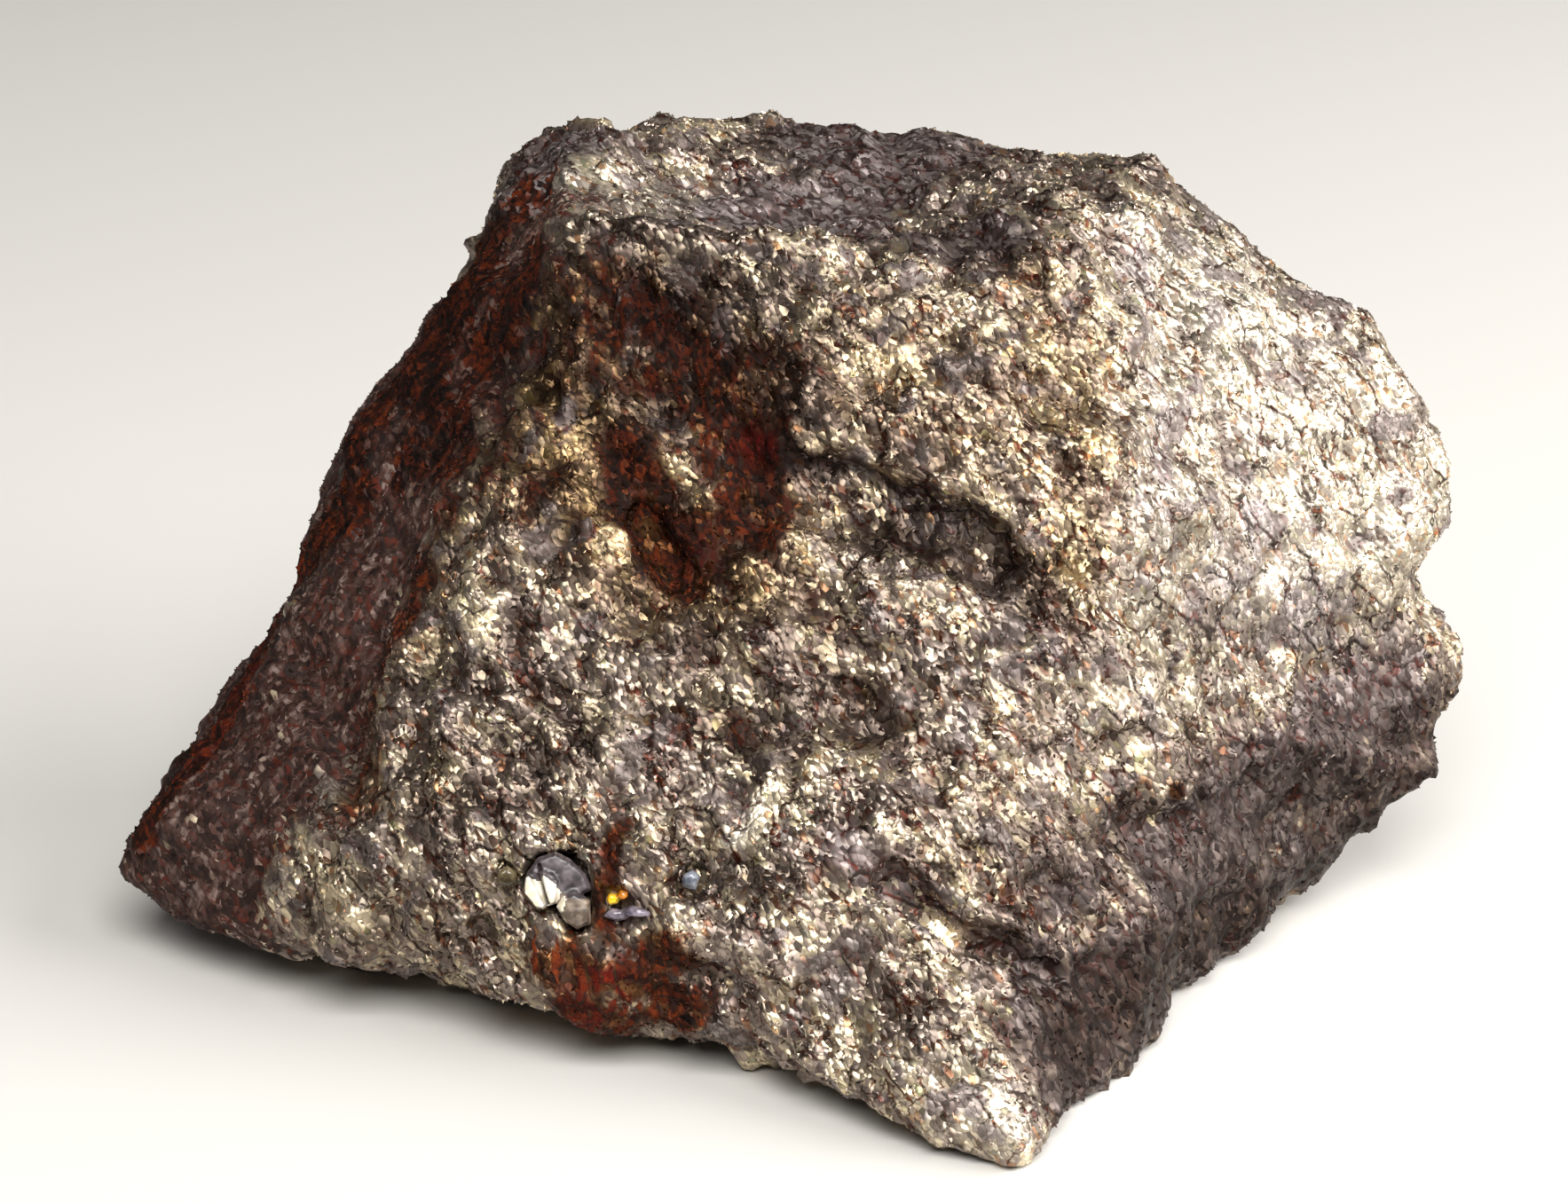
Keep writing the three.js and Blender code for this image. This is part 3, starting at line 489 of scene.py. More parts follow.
def break_surface(piece):
    """Gives a piece its hackly break: soft swells, flat chips, open cracks, and ribs where it is ribbed. It
    also keeps the patterns of a millimetre and more that the ore's finish follows."""
    tree, shape = shape_tree("hackly break")
    place = add_node(tree, "GeometryNodeInputPosition")[0]
    normal = add_node(tree, "GeometryNodeInputNormal")[0]
    drawn = streaked(tree, place, GRAIN_WAY, GRAIN_PULL)
    crack = crack_share(tree, drawn)
    patterns = {"crack": crack}
    for name, (size, detail) in MOTTLES.items():
        mottle = {"Vector": place if name == "grey" else drawn, "Scale": 1 / size, "Detail": detail}
        patterns[name] = add_node(tree, "ShaderNodeTexNoise", sockets=mottle)["Fac"]

    swell = {"Vector": place, "Scale": 1 / SWELL_SIZE, "Detail": 4.0}
    swell = add_node(tree, "ShaderNodeTexNoise", sockets=swell)["Fac"]
    chips = [(chip_height(tree, drawn, size, steepness), 1.0) for size, steepness in CHIPS.items()]
    height = weighed(tree, -SWELL_HEIGHT, (swell, 2 * SWELL_HEIGHT), *chips, (crack, -CRACK_DEPTH))
    patterns["hollow"] = add_node(tree, "ShaderNodeMapRange", height, *HOLLOW_EDGE)[0]
    for name, pattern in patterns.items():
        shape = add_node(
            tree,
            "GeometryNodeStoreNamedAttribute",
            sockets={"Geometry": shape, "Name": name, "Value": pattern},
            data_type="FLOAT",
            domain="POINT",
        )[0]

    for name, calming in CALMING.items():
        zone = add_node(tree, "GeometryNodeInputNamedAttribute", name, data_type="FLOAT")["Attribute"]
        calm = weighed(tree, 1.0, (zone, calming))
        calm = add_node(tree, "ShaderNodeMath", calm, LEAST_BREAK, operation="MAXIMUM")[0]
        height = add_node(tree, "ShaderNodeMath", height, calm, operation="MULTIPLY")[0]

    # Ribs run down the flank one way, and down the stained hollows and the bulge another way
    for name, way in RIB_WAYS.items():
        rib = {"Vector": streaked(tree, place, way, RIB_PULL), "Scale": 1 / RIB_SIZE, "Detail": 3.0}
        rib = add_node(tree, "ShaderNodeTexNoise", sockets=rib)["Fac"]
        rise = weighed(tree, -0.5 * RIB_HEIGHT, (rib, RIB_HEIGHT))
        zone = add_node(tree, "GeometryNodeInputNamedAttribute", name, data_type="FLOAT")["Attribute"]
        height = weighed(tree, height, (rise, zone))
    push = add_node(tree, "ShaderNodeVectorMath", normal, sockets={"Scale": height}, operation="SCALE")[0]
    moved = add_node(tree, "GeometryNodeSetPosition", sockets={"Geometry": shape, "Offset": push})[0]
    add_node(tree, "NodeGroupOutput", moved)
    finish_modifier(piece, "break", "NODES", node_group=tree)


ore = copy_of("ore_mass", "ore_lump")
finish_modifier(ore, "even mesh", "REMESH", mode="VOXEL", voxel_size=VOXEL)
finish_modifier(ore, "eased", "SMOOTH", factor=EASING, iterations=EASING_ROUNDS)
points = places(ore)
outward = normals(ore)
for path, reach, rise in FORMS.values():
    points += outward * (nearness(points, path, reach) * rise * MM)[:, None]
put_places(ore, points)
for name, patches in PATCHES.items():
    share = np.zeros(len(points))
    for path, reach, strength in patches:
        near = nearness(points, path, reach)
        share = np.maximum(share, np.minimum(strength * near, FULLEST)) * (1 - near * (strength < 0))
    keep_attribute(ore, name, share)
break_surface(ore)

# The underside is flat where it rests on the floor
broken = places(ore)
broken[:, 2] = np.maximum(broken[:, 2], 0)
put_places(ore, broken)

# Tints of the metal from its dullest grains to its brightest, and the casts of its yellow and cream faces.
# The cream cast is partly a paler face and partly painted light on the lit right face and bright spots
METAL_TINTS = [(0.0, "#4a3e39"), (0.25, "#7c6e66"), (0.5, "#a6978c"), (0.75, "#cebfa6"), (1.0, "#f6e5c0")]
GOLD_TINT = "#f4dcb2"
CREAM_TINT = "#f2eadb"
CREAM_SHARE = 0.5

# A thin tarnish on a few grains, green to blue to copper, picked by the grain's own hue
TARNISH_TINTS = [
    (0.86, "#ffffff"), (0.88, "#dfead0"), (0.92, "#cdd9e6"), (0.95, "#f4dac6"), (1.0, "#f0cdb4"),
]
LOOSE_HUE_TURNS = 7.0

# The metal's gloss, and that of the duller grey mineral. The brighter a grain, the smoother it is
METALLIC = 0.9
GREY_METALLIC = 0.5
GRAIN_ROUGHNESS = (0.52, 0.38)
METAL_SHINE = 0.35

# Tone: how bright the clusters are, the part of it that is the grain's own, and what each place adds to it
CLUSTER_EDGE = (0.35, 0.65)
CLUSTER_TONES = (0.06, 0.4)
OWN_TONE = 0.5
FLASH_EDGE = (0.84, 0.9)
FLASH_TONE = 0.35
# Of these shifts, cream is partly painted light, and gleam is a painted highlight on clumps that catch light
TONE_SHIFTS = {"cream": 0.13, "gold": 0.1, "gleam": 0.25, "film": -0.35}

# Faces of the grains: real ones are 0.4 to 0.8 mm, and many show only in part. How far each leans its own way
# and with its cluster, how domed it is, and how far a cover or a shared cleavage evens the faces out
GRAIN_CELL = 0.36 * MM
CLUSTER_CELL = 1.5 * MM
GRAIN_LEAN = 0.75
CLUSTER_LEAN = 0.5
GRAIN_DOME = 0.5
COVER_EVENING = 0.55
CLEAVAGE_WAY = (0.3, -0.72, 0.62)
CLEAVAGE_EVENING = 0.5

# Dirt in the joints of the grains and in fine open cracks, and dirt with painted shade in the hollows of the
# break
JOINT_EDGE = (0.12, 0.01)
JOINT_DIRT = 0.45
CRACK_LINE_CELL = 2.2 * MM
CRACK_LINE_WANDER = (0.9, 0.6, -0.7)
CRACK_LINE_EDGE = (0.085, 0.02)
CRACK_LINE_DIRT = 0.92
OPENED_EDGE = (0.38, 0.5)
HOLLOW_DIRT_AND_SHADE = 0.55
CRACK_DIRT = "#251712"
DIRT_AND_SHADE_TINTS = [(0.6, CRACK_DIRT), (0.8, "#4f1e10")]

# Dull grey patches of another ore mineral, from dark to light, a little wider and lighter on the cream faces,
# where the lift is partly painted light
GREY_TINTS = [(0.2, "#564b46"), (0.5, "#766b66"), (0.8, "#a0958f")]
GREY_EDGE = (0.58, 0.64)
GREY_FRESH_AND_LIT_SHIFT = 0.03
FRESH_AND_LIT_LIFT = 0.3

# The blotches and threads that the covers lie in, and the bright grains that they leave clean
CLOUD_SIZE = 0.9 * MM
THREAD_SIZE = 0.65 * MM
THREAD_SHARE = 0.65
FLUTE_CONTRAST = 3.6
BLOTCH_CONTRAST = 2.0
BLOTCH_DROP = -0.5
CLEAN_EDGE = (0.78, 0.95)
CLEAN_DROP = -0.35
COVER_EDGE = (0.82, 1.24)

# Covers over the metal, from the inside out: a grey film, a dull brown coat, and iron oxide in dark threads.
# Each follows the grains under it by a share
FILM_TINTS = [(0.3, "#493e3d"), (0.48, "#736764"), (0.66, "#9c918f"), (0.9, "#bdb3af")]
COAT_TINTS = [(0.34, "#150c0a"), (0.46, "#33201a"), (0.56, "#503b35"), (0.68, "#8b7870")]
RUST_TINTS = [(0.4, "#0a0402"), (0.46, "#1b0a05"), (0.52, "#3e1808"), (0.58, "#702f10"), (0.66, "#401709")]
COVERS = {
    "film": {"tints": FILM_TINTS, "grained": 0.5, "metallic": 0.7, "roughness": 0.5, "shine": 0.35},
    "coat": {"tints": COAT_TINTS, "grained": 0.2, "metallic": 0.15, "roughness": 0.7, "shine": 0.25},
    "rust": {"tints": RUST_TINTS, "grained": 0.15, "metallic": 0.0, "roughness": 0.8, "shine": 0.1},
}

# Stain that spreads into the metal round the rust, the red parts of the rust, and painted shade on the dusky
# faces, partly a darker tarnish
STAIN = "#7d5c45"
STAIN_REACH = 1.6
STAIN_EDGE = (0.75, 1.5)
RED = "#6e100d"
RED_EDGE = (0.42, 0.56)
RED_SHARES = (0.1, 0.9)
PAINTED_SHADE_TINT = "#7c6e62"
PAINTED_SHADE_SHARE = 0.9


def ore_material(name, loose, lift):
    """Broken chalcopyrite: a brassy metal, each grain tarnished its own way, with grey patches and iron
    oxide. Loose grains are whole, each of one tone, and the lift makes a finish brighter or duller."""
    material, tree = new_material(name)
    place = add_node(tree, "ShaderNodeTexCoord")["Object"]
    facing = add_node(tree, "ShaderNodeNewGeometry")["Normal"]
    zones = ("coat", "rust", "red", "film", "cream", "gold", "dusky", "gleam", "fluted")
    kept = (*zones, *MOTTLES, "crack", "hollow", "tone")
    at = {key: add_node(tree, "ShaderNodeAttribute", attribute_name=key)["Fac"] for key in kept}
    cloud = {"Vector": place, "Scale": 1 / CLOUD_SIZE, "Detail": 5.0}
    cloud = add_node(tree, "ShaderNodeTexNoise", sockets=cloud)["Fac"]
    if loose:
        own = at["tone"]
        hue = add_node(tree, "ShaderNodeMath", own, LOOSE_HUE_TURNS, operation="MULTIPLY")[0]
        hue = add_node(tree, "ShaderNodeMath", hue, operation="FRACT")[0]
        gap = 0.0
        flash = 0.0
    else:
        # Grains broken through: each a small face that leans its own way and with its cluster, a bit domed
        drawn = streaked(tree, place, GRAIN_WAY, GRAIN_PULL)
        scaled = {"Scale": 1 / GRAIN_CELL}
        scaled = add_node(tree, "ShaderNodeVectorMath", drawn, sockets=scaled, operation="SCALE")[0]
        cell = add_node(tree, "ShaderNodeTexVoronoi", scaled, sockets=IN_CELLS)
        coarse = {"Vector": cell["Position"], "Scale": GRAIN_CELL / CLUSTER_CELL}
        group = add_node(tree, "ShaderNodeTexVoronoi", sockets=coarse)["Color"]
        own, hue = add_node(tree, "ShaderNodeSeparateColor", cell["Color"])[:2]
        flash = add_node(tree, "ShaderNodeSeparateColor", group)["Blue"]
        flash = add_node(tree, "ShaderNodeMapRange", flash, *FLASH_EDGE, 0.0, FLASH_TONE)[0]
        middle = (-(GRAIN_LEAN + CLUSTER_LEAN) / 2,) * 3
        lean = add_node(tree, "ShaderNodeVectorMath", facing, middle, operation="ADD")[0]
        dome = add_node(tree, "ShaderNodeVectorMath", scaled, cell["Position"], operation="SUBTRACT")[0]
        for turned, amount in ((cell["Color"], GRAIN_LEAN), (group, CLUSTER_LEAN), (dome, GRAIN_DOME)):
            amount = (amount,) * 3
            lean = add_node(tree, "ShaderNodeVectorMath", turned, amount, lean, operation="MULTIPLY_ADD")[0]

        # Covers even the faces out, and clumps that broke along one cleavage flash together
        covered = add_node(tree, "ShaderNodeMath", at["coat"], at["film"], operation="MAXIMUM")[0]
        cleaved = (at["gleam"], CLEAVAGE_EVENING, CLEAVAGE_WAY)
        for zone, evening, way in ((covered, COVER_EVENING, facing), cleaved):
            share = add_node(tree, "ShaderNodeMath", zone, evening, operation="MULTIPLY")[0]
            lean = add_node(tree, "ShaderNodeMix", sockets={0: share, 4: lean, 5: way}, data_type="VECTOR")[1]
        facing = add_node(tree, "ShaderNodeVectorMath", lean, operation="NORMALIZE")[0]
        gap = add_node(tree, "ShaderNodeTexVoronoi", scaled, sockets=IN_CELLS, **TO_WALL)["Distance"]
        gap = add_node(tree, "ShaderNodeMapRange", gap, *JOINT_EDGE, 0.0, JOINT_DIRT)[0]

        # Fine open cracks between the clusters
        fine = {"Scale": 1 / CRACK_LINE_CELL}
        fine = add_node(tree, "ShaderNodeVectorMath", drawn, sockets=fine, operation="SCALE")[0]
        wander = CRACK_LINE_WANDER
        fine = add_node(tree, "ShaderNodeVectorMath", cloud, wander, fine, operation="MULTIPLY_ADD")[0]
        line = add_node(tree, "ShaderNodeTexVoronoi", fine, sockets=IN_CELLS, **TO_WALL)["Distance"]
        line = add_node(tree, "ShaderNodeMapRange", line, *CRACK_LINE_EDGE, 0.0, CRACK_LINE_DIRT)[0]
        opened = add_node(tree, "ShaderNodeMapRange", at["crumble"], *OPENED_EDGE)[0]
        line = add_node(tree, "ShaderNodeMath", line, opened, operation="MULTIPLY")[0]
        gap = add_node(tree, "ShaderNodeMath", gap, line, operation="MAXIMUM")[0]

    # Tone of the metal: the grain's own, in bright and dusky clusters of a few millimetres
    tone = add_node(tree, "ShaderNodeMapRange", at["cluster"], *CLUSTER_EDGE, *CLUSTER_TONES, **SMOOTH)[0]
    shifts = [(at[key], amount) for key, amount in TONE_SHIFTS.items()]
    tone = weighed(tree, tone, (own, OWN_TONE), (flash, 1.0), *shifts, (lift, 1.0))
    colour = add_node(tree, "ShaderNodeValToRGB", tone, stops=METAL_TINTS)["Color"]
    # The cream places are paler: partly a paler face, partly painted light on the lit right face and bright
    # spots
    pale = add_node(tree, "ShaderNodeMath", at["cream"], tone, operation="MULTIPLY")[0]
    pale = add_node(tree, "ShaderNodeMath", pale, CREAM_SHARE, operation="MULTIPLY")[0]
    colour = add_node(tree, "ShaderNodeMix", sockets={0: pale, 6: colour, 7: linear(CREAM_TINT)}, **LAYER)[2]
    tarnish = add_node(tree, "ShaderNodeValToRGB", hue, stops=TARNISH_TINTS)["Color"]
    for share, tint in ((at["gold"], linear(GOLD_TINT)), (1.0, tarnish)):
        colour = add_node(tree, "ShaderNodeMix", sockets={0: share, 6: colour, 7: tint}, **TINTING)[2]

    # Dull grey patches of another ore mineral
    fresh_and_lit = at["cream"]
    grey = weighed(tree, at["grey"], (fresh_and_lit, GREY_FRESH_AND_LIT_SHIFT))
    grey_share = add_node(tree, "ShaderNodeMapRange", grey, *GREY_EDGE, **SMOOTH)[0]
    grey_tone = weighed(tree, 0.0, (own, 0.5), (at["crumble"], 0.5), (fresh_and_lit, FRESH_AND_LIT_LIFT))
    grey_colour = add_node(tree, "ShaderNodeValToRGB", grey_tone, stops=GREY_TINTS)["Color"]
    colour = add_node(tree, "ShaderNodeMix", sockets={0: grey_share, 6: colour, 7: grey_colour}, **LAYER)[2]

    # Stain spreads round the rust
    blotch = weighed(tree, BLOTCH_DROP, (at["crumble"], BLOTCH_CONTRAST))
    stain = weighed(tree, blotch, (at["rust"], STAIN_REACH))
    stain = add_node(tree, "ShaderNodeMapRange", stain, *STAIN_EDGE, 0.0, 1.0, **SMOOTH)[0]
    colour = add_node(tree, "ShaderNodeMix", sockets={0: stain, 6: colour, 7: linear(STAIN)}, **TINTING)[2]

    # The covers lie over the metal in blotches and threads, and a few bright grains are left clean
    clean = add_node(tree, "ShaderNodeMapRange", own, *CLEAN_EDGE, 0.0, CLEAN_DROP)[0]
    threads = []
    for way in RIB_WAYS.values():
        thread = {"Vector": streaked(tree, place, way, RIB_PULL), "Scale": 1 / THREAD_SIZE, "Detail": 4.0}
        threads.append(add_node(tree, "ShaderNodeTexNoise", sockets=thread)["Fac"])
    thread = {0: at["fluted"], 2: threads[0], 3: threads[1]}
    thread = add_node(tree, "ShaderNodeMix", sockets=thread, data_type="FLOAT")[0]
    fluting = weighed(tree, -0.5 * FLUTE_CONTRAST, (thread, FLUTE_CONTRAST))
    gloss = {
        "metallic": add_node(tree, "ShaderNodeMapRange", grey_share, 0.0, 1.0, METALLIC, GREY_METALLIC)[0],
        "roughness": add_node(tree, "ShaderNodeMapRange", own, 0.0, 1.0, *GRAIN_ROUGHNESS)[0],
        "shine": METAL_SHINE,
    }
    for key, cover in COVERS.items():
        mottle = {0: THREAD_SHARE, 2: cloud, 3: cloud if key == "film" else thread}
        mottle = add_node(tree, "ShaderNodeMix", sockets=mottle, data_type="FLOAT")[0]
        mottle = {0: cover["grained"], 2: mottle, 3: own}
        mottle = add_node(tree, "ShaderNodeMix", sockets=mottle, data_type="FLOAT")[0]
        share = weighed(tree, at[key], (blotch, 1.0), (clean, 1.0))
        # On the cream faces the film is lighter too, partly painted light
        if key == "film":
            mottle = weighed(tree, mottle, (fresh_and_lit, FRESH_AND_LIT_LIFT))
        if key == "rust":
            share = weighed(tree, share, (fluting, at["fluted"]))
        share = add_node(tree, "ShaderNodeMapRange", share, *COVER_EDGE, **SMOOTH)[0]
        tint = add_node(tree, "ShaderNodeValToRGB", mottle, stops=cover["tints"])["Color"]
        if key == "rust":
            red = add_node(tree, "ShaderNodeMapRange", thread, *RED_EDGE, *RED_SHARES)[0]
            red = add_node(tree, "ShaderNodeMath", red, at["red"], operation="MULTIPLY")[0]
            tint = add_node(tree, "ShaderNodeMix", sockets={0: red, 6: tint, 7: linear(RED)}, **LAYER)[2]
        colour = add_node(tree, "ShaderNodeMix", sockets={0: share, 6: colour, 7: tint}, **LAYER)[2]
        for kind, so_far in gloss.items():
            mixed = {0: share, 2: so_far, 3: cover[kind]}
            gloss[kind] = add_node(tree, "ShaderNodeMix", sockets=mixed, data_type="FLOAT")[0]

    # Dirt lies in the joints and cracks, dirt and painted shade darken the hollows, and the dusky faces get
    # painted shade all over, partly a darker tarnish
    dirt_and_shade = add_node(tree, "ShaderNodeMath", at["crack"], at["hollow"], operation="MAXIMUM")[0]
    dirt_and_shade = add_node(tree, "ShaderNodeMath", dirt_and_shade, HOLLOW_DIRT_AND_SHADE, operation="MULTIPLY")[0]
    dirt_and_shade = add_node(tree, "ShaderNodeMath", dirt_and_shade, gap, operation="MAXIMUM")[0]
    dirt_and_shade_tint = add_node(tree, "ShaderNodeValToRGB", hue, stops=DIRT_AND_SHADE_TINTS)["Color"]
    colour = add_node(tree, "ShaderNodeMix", sockets={0: dirt_and_shade, 6: colour, 7: dirt_and_shade_tint}, **LAYER)[2]
    painted_shade = add_node(tree, "ShaderNodeMath", at["dusky"], PAINTED_SHADE_SHARE, operation="MULTIPLY")[0]
    colour = add_node(tree, "ShaderNodeMix", sockets={0: painted_shade, 6: colour, 7: linear(PAINTED_SHADE_TINT)}, **TINTING)[2]
    finish = {
        "Base Color": colour,
        "Metallic": gloss["metallic"],
        "Roughness": gloss["roughness"],
        "Specular IOR Level": gloss["shine"],
        "Normal": facing,
    }
    shader = add_node(tree, "ShaderNodeBsdfPrincipled", sockets=finish)
    add_node(tree, "ShaderNodeOutputMaterial", shader["BSDF"])
    return material


# Broken chalcopyrite glitters softly, brassy to silver, because each face leans its own way. It turns dull
# grey and brown where a film, a coat or iron oxide covers it
ore.data.materials.append(ore_material("broken chalcopyrite", loose=False, lift=0.05))
only(ore)
bpy.ops.object.shade_smooth()
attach(ore, "root")
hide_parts("ore_mass")


# Loose-edged grains of the ore, a third to three quarters of a millimetre across. They stand out of the break
# where it went round them and not through them, and their flat tops catch the light.
GRAIN_SIZE = 0.4 * MM
GRAIN_SINK = 0.1 * MM
GRAIN_SPACING = 0.33 * MM
GRAIN_TILT = 0.45
GRAIN_TURN = 3.1
GRAIN_LEAST = (0.6, 0.6, 0.7)
GRAIN_MOST = (1.4, 1.25, 1.1)
ABOVE_FLOOR = (0.8 * MM, 1.4 * MM)

# How narrow the top of a grain is, how far it is shifted, and how far each corner is knocked off its place,
# all as shares of the grain's size
TOP_WIDTH = 0.66
TOP_DEPTH = 0.85
TOP_SHIFT = (0.08, -0.05, -0.1)
CORNER_SHIFTS = [
    (0.12, 0.05, 0), (-0.05, -0.1, 0.2), (0.1, -0.18, 0), (0.16, -0.2, -0.12),
    (-0.2, 0.1, 0), (-0.12, 0.2, -0.05), (-0.05, -0.05, 0), (0.1, -0.15, 0.05),
]


def grain_shape():
    """One grain: a small uneven block with a narrower top that slopes."""
    bpy.ops.object.select_all(action="DESELECT")
    bpy.ops.mesh.primitive_cube_add(size=GRAIN_SIZE)
    grain = bpy.context.object
    bpy.ops.object.mode_set(mode="EDIT")
    bpy.ops.mesh.select_all(action="DESELECT")
    bpy.ops.object.mode_set(mode="OBJECT")
    for face in grain.data.polygons:
        face.select = face.normal.z > 0.9
    bpy.ops.object.mode_set(mode="EDIT")
    bpy.ops.mesh.select_mode(type="FACE")
    bpy.ops.transform.resize(value=(TOP_WIDTH, TOP_WIDTH * TOP_DEPTH, 1))
    bpy.ops.transform.translate(value=[shift * GRAIN_SIZE for shift in TOP_SHIFT])
    bpy.ops.mesh.select_all(action="SELECT")
    bpy.ops.object.mode_set(mode="OBJECT")
    for corner, shift in zip(grain.data.vertices, CORNER_SHIFTS):
        corner.co += Vector(shift) * GRAIN_SIZE
    return grain


def scatter_grains(name, grain, most, seed, share, weights):
    """Spreads copies of a grain over the lump, each with its own size, tilt and tone, as one mesh, with at
    most so many on a square millimetre. How many lie at a place is a share, to which each kept pattern there
    adds its weight."""
    piece = bpy.data.objects.new(name, ore.data.copy())
    bpy.context.collection.objects.link(piece)
    tree, shape = shape_tree(name)
    for key, weight in weights.items():
        pattern = add_node(tree, "GeometryNodeInputNamedAttribute", key, data_type="FLOAT")["Attribute"]
        share = weighed(tree, share, (pattern, weight))
    share = add_node(tree, "ShaderNodeMapRange", share, 0.0, 1.0, **SMOOTH)[0]
    place = add_node(tree, "GeometryNodeInputPosition")[0]
    height = add_node(tree, "ShaderNodeSeparateXYZ", place)["Z"]
    off_floor = add_node(tree, "ShaderNodeMapRange", height, *ABOVE_FLOOR)[0]
    density = add_node(tree, "ShaderNodeMath", share, off_floor, operation="MULTIPLY")[0]
    crowding = {"Distance Min": GRAIN_SPACING, "Density Max": most / MM**2, "Density Factor": density}
    spread = add_node(
        tree,
        "GeometryNodeDistributePointsOnFaces",
        sockets={"Mesh": shape, **crowding, "Seed": seed},
        distribute_method="POISSON",
    )
    sunk = {"Scale": -GRAIN_SINK}
    sunk = add_node(tree, "ShaderNodeVectorMath", spread["Normal"], sockets=sunk, operation="SCALE")[0]
    sunk = {"Geometry": spread["Points"], "Offset": sunk}
    points = add_node(tree, "GeometryNodeSetPosition", sockets=sunk)[0]
    lean = (GRAIN_TILT, GRAIN_TILT, GRAIN_TURN)
    lean = {"Min": [-angle for angle in lean], "Max": lean, "Seed": seed + 1}
    lean = add_node(tree, "FunctionNodeRandomValue", sockets=lean, data_type="FLOAT_VECTOR")[0]
    lean = add_node(tree, "FunctionNodeEulerToRotation", lean)[0]
    turn = add_node(tree, "FunctionNodeRotateRotation", spread["Rotation"], lean, rotation_space="LOCAL")[0]
    size = {"Min": GRAIN_LEAST, "Max": GRAIN_MOST, "Seed": seed + 2}
    size = add_node(tree, "FunctionNodeRandomValue", sockets=size, data_type="FLOAT_VECTOR")[0]
    one = add_node(tree, "GeometryNodeObjectInfo", grain)["Geometry"]
    copies = {"Points": points, "Instance": one, "Rotation": turn, "Scale": size}
    copies = add_node(tree, "GeometryNodeInstanceOnPoints", sockets=copies)[0]
    tone = add_node(tree, "FunctionNodeRandomValue", sockets={"Seed": seed + 3}, data_type="FLOAT")[1]
    toned = add_node(
        tree,
        "GeometryNodeStoreNamedAttribute",
        sockets={"Geometry": copies, "Name": "tone", "Value": tone},
        data_type="FLOAT",
        domain="INSTANCE",
    )[0]
    joined = add_node(tree, "GeometryNodeRealizeInstances", toned)[0]
    add_node(tree, "NodeGroupOutput", joined)
    finish_modifier(piece, "grains", "NODES", node_group=tree)
    piece.data.materials.clear()
    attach(piece, "root")
    return piece


grain = grain_shape()

# Brassy grains stand in clusters, and hardly at all under the rust, the coat and the film. Being fresh, they
# give small warm flashes
brassy_weights = {"cluster": 5.0, "cream": 0.4, "rust": -0.6, "coat": -0.9, "film": -0.5, "pocket": -3.0}
brassy = scatter_grains("brassy_grains", grain, most=3.2, seed=3, share=-2.0, weights=brassy_weights)
brassy.data.materials.append(ore_material("fresh brassy grains", loose=True, lift=0.06))

# Tarnished grains fill in between the brassy ones, and look dull and grey-brown beside them
dusky_weights = {"cluster": -4.0, "coat": -0.5, "film": -0.3, "pocket": -3.0}
dusky = scatter_grains("dusky_grains", grain, most=3.2, seed=11, share=2.6, weights=dusky_weights)
dusky.data.materials.append(ore_material("tarnished grains", loose=True, lift=-0.08))

# Crumbs of iron oxide and dull ore lie on the rust and the coat, and make them look rough and earthy
crumb_weights = {"rust": 0.9, "coat": 0.7, "pocket": -3.0}
crumbs = scatter_grains("oxide_crumbs", grain, most=3.4, seed=23, share=-0.15, weights=crumb_weights)
crumbs.data.materials.append(ore_material("crumbs of iron oxide and dull ore", loose=True, lift=-0.1))
bpy.data.objects.remove(grain)


# The quartz of the pocket: small crystals of vein quartz that grew with the ore and broke through with it.
# They are milky to clear, with rounded edges, and iron has stained some brown, amber, orange and olive.
QUARTZ_IOR = 1.544
QUARTZ_VOXEL = 0.1 * MM
QUARTZ_EASING_ROUNDS = 2
QUARTZ_SWELL = 0.9 * MM
QUARTZ_UNEVENNESS = 0.1 * MM
FACET_ANGLE = math.radians(30)

# Cloudy veils inside the quartz: their size, where the tint turns, where they thicken, and the share of its
# clearness that the quartz keeps there
VEIL_SIZE = 0.7 * MM
VEIL_DARK = 0.38
VEIL_LIGHT = 0.62
VEIL_EDGE = (0.4, 0.65)
VEIL_CLEARNESS = 0.5

# An open seam runs down between the two bright crystals: its path across and up and its reach in millimetres
SEAM = [(-16.55, 13.3), (-16.3, 12.4), (-15.95, 11.0)]
SEAM_REACH = 0.22
SEAM_DEPTH = 0.3 * MM

# The crystals that each solid is grown from: the finish of each, and its middle in millimetres
CLUSTER_CRYSTALS = [
    ("milky lilac-grey quartz", (-15.2, -21.5, 13.4)),
    ("milky lilac-grey quartz", (-16.3, -21.2, 13.9)),
    ("milky lilac-grey quartz", (-14.1, -21.9, 12.6)),
    ("brown-tinged quartz", (-14.3, -22.3, 11.0)),
    ("bright quartz with a painted highlight", (-16.9, -22.6, 12.0)),
    ("bright quartz with a painted highlight", (-16.1, -22.7, 12.5)),
    ("bright quartz with a painted highlight", (-15.95, -22.7, 11.7)),
]
AMBER_CRYSTALS = [
    ("iron-stained amber quartz", (-11.9, -23, 11.7)),
    ("orange iron-stained quartz", (-11.2, -23, 12.2)),
]

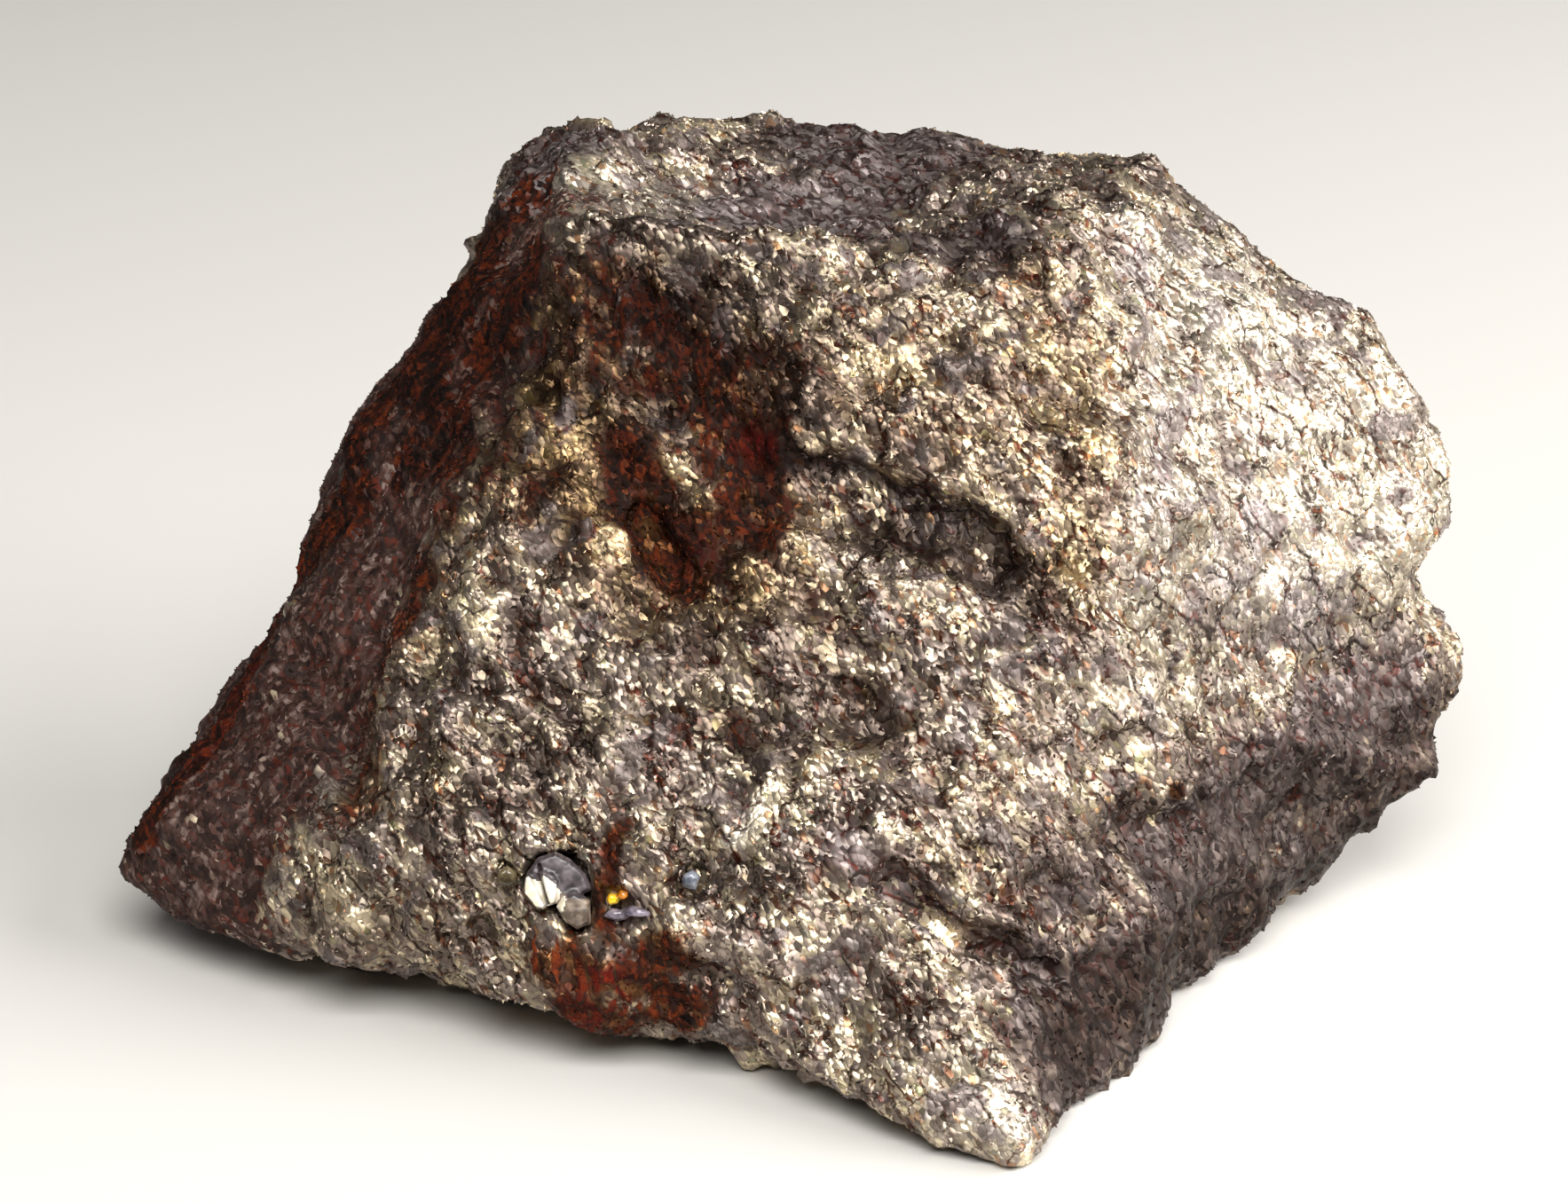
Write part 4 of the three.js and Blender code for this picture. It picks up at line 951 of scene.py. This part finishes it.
# The tints of each finish where it is light and dark, how clear it is, and the tint and the density, per
# metre, of its inside
QUARTZ_FINISHES = {
    # Cloudy inside and frosted on its break: a soft grey body with a lilac cast
    "milky lilac-grey quartz": dict(
        light="#746a6e", dark="#4b4345", clear=0.6, inside="#c0b4ba", density=220.0, roughness=0.35
    ),
    # The same with a little iron: a warm, dull brown
    "brown-tinged quartz": dict(
        light="#9b8a7a", dark="#66564a", clear=0.5, inside="#b99c80", density=200.0, roughness=0.35
    ),
    # Hardly stained, with glassy faces and sharp lights: near white, partly milky and partly a painted
    # highlight
    "bright quartz with a painted highlight": dict(
        light="#fffaf0", dark="#efe3c8", clear=0.25, inside="#fff2d8", density=20.0
    ),
    # Thin and glassy: lilac light through its edges
    "lilac quartz": dict(light="#a096a4", dark="#6f6675", clear=0.6, inside="#c0b4cc", density=150.0),
    # Faintly smoky: a cool pale grey-blue
    "pale smoky quartz": dict(light="#9ba0ac", dark="#6a6f7c", clear=0.5, inside="#b8bcc8", density=120.0),
    # Soaked in yellow iron oxide: bright yellow, partly its stain and partly a painted glint
    "iron-stained amber quartz": dict(
        light="#ffdf52", dark="#ffb81e", clear=0.15, inside="#ffc23c", density=100.0
    ),
    # More iron: a deeper orange
    "orange iron-stained quartz": dict(
        light="#e08a1e", dark="#8a4210", clear=0.3, inside="#d8842c", density=250.0
    ),
    # Iron and dark ore in it: a dim olive brown that hardly stands out of the ore
    "olive iron-stained quartz": dict(
        light="#6b5f45", dark="#3f3626", clear=0.4, inside="#8d7c4c", density=300.0
    ),
}


def quartz_material(name, light, dark, clear, inside, density, roughness=0.12):
    """Vein quartz: a clear crystal, cloudy inside with fine veils, and tinted a little by what it holds."""
    material, tree = new_material(name)
    place = add_node(tree, "ShaderNodeTexCoord")["Object"]
    veil = {"Vector": place, "Scale": 1 / VEIL_SIZE, "Detail": 4.0}
    veil = add_node(tree, "ShaderNodeTexNoise", sockets=veil)["Fac"]
    tints = [(VEIL_DARK, dark), (VEIL_LIGHT, light)]
    colour = add_node(tree, "ShaderNodeValToRGB", veil, stops=tints)["Color"]
    seam = add_node(tree, "ShaderNodeAttribute", attribute_name="seam")["Fac"]
    dirty = {0: seam, 6: colour, 7: linear(CRACK_DIRT)}
    colour = add_node(tree, "ShaderNodeMix", sockets=dirty, **LAYER)[2]
    clearness = add_node(tree, "ShaderNodeMapRange", veil, *VEIL_EDGE, clear, clear * VEIL_CLEARNESS)[0]
    finish = {
        "Base Color": colour,
        "Transmission Weight": clearness,
        "Roughness": roughness,
        "IOR": QUARTZ_IOR,
    }
    shader = add_node(tree, "ShaderNodeBsdfPrincipled", sockets=finish)
    depth = add_node(tree, "ShaderNodeVolumeAbsorption", linear(inside), density)
    add_node(tree, "ShaderNodeOutputMaterial", shader["BSDF"], depth["Volume"])
    return material


quartz_finishes = {name: quartz_material(name, **finish) for name, finish in QUARTZ_FINISHES.items()}


def quartz_piece(node_name, crystals):
    """A quartz solid with its edges rounded and its faces a little uneven, each crystal with its finish."""
    piece = copy_of(node_name, node_name + "_crystals")
    finish_modifier(piece, "even mesh", "REMESH", mode="VOXEL", voxel_size=QUARTZ_VOXEL)
    finish_modifier(piece, "worn edges", "SMOOTH", factor=EASING, iterations=QUARTZ_EASING_ROUNDS)
    tree, shape = shape_tree("uneven faces")
    place = add_node(tree, "GeometryNodeInputPosition")[0]
    normal = add_node(tree, "GeometryNodeInputNormal")[0]
    swell = {"Vector": place, "Scale": 1 / QUARTZ_SWELL, "Detail": 2.0}
    swell = add_node(tree, "ShaderNodeTexNoise", sockets=swell)["Fac"]
    height = weighed(tree, -QUARTZ_UNEVENNESS, (swell, 2 * QUARTZ_UNEVENNESS))
    push = add_node(tree, "ShaderNodeVectorMath", normal, sockets={"Scale": height}, operation="SCALE")[0]
    moved = add_node(tree, "GeometryNodeSetPosition", sockets={"Geometry": shape, "Offset": push})[0]
    add_node(tree, "NodeGroupOutput", moved)
    finish_modifier(piece, "uneven faces", "NODES", node_group=tree)

    points = places(piece)
    seam = np.zeros(len(points))
    if node_name == "quartz_cluster":
        seen_from_front = points * (1, 0, 1)
        seam = nearness(seen_from_front, [(x, 0, z) for x, z in SEAM], SEAM_REACH)
        seam *= normals(piece)[:, 1] < 0
    points[:, 1] += seam * SEAM_DEPTH
    put_places(piece, points)
    keep_attribute(piece, "seam", seam)

    names = list(dict.fromkeys(name for name, middle in crystals))
    for name in names:
        piece.data.materials.append(quartz_finishes[name])
    for face in piece.data.polygons:
        nearest = min(crystals, key=lambda crystal: (face.center - Vector(crystal[1]) * MM).length)
        face.material_index = names.index(nearest[0])
    only(piece)
    bpy.ops.object.shade_smooth_by_angle(angle=FACET_ANGLE)
    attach(piece, "root")
    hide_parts(node_name)


quartz_piece("quartz_cluster", CLUSTER_CRYSTALS)
quartz_piece("quartz_chip", [("lilac quartz", (-11, -22.5, 11))])
quartz_piece("quartz_speck", [("pale smoky quartz", (-7, -23.5, 13.5))])
quartz_piece("amber_grain", AMBER_CRYSTALS)
quartz_piece("olive_grain", [("olive iron-stained quartz", (-18.5, -21, 12.4))])
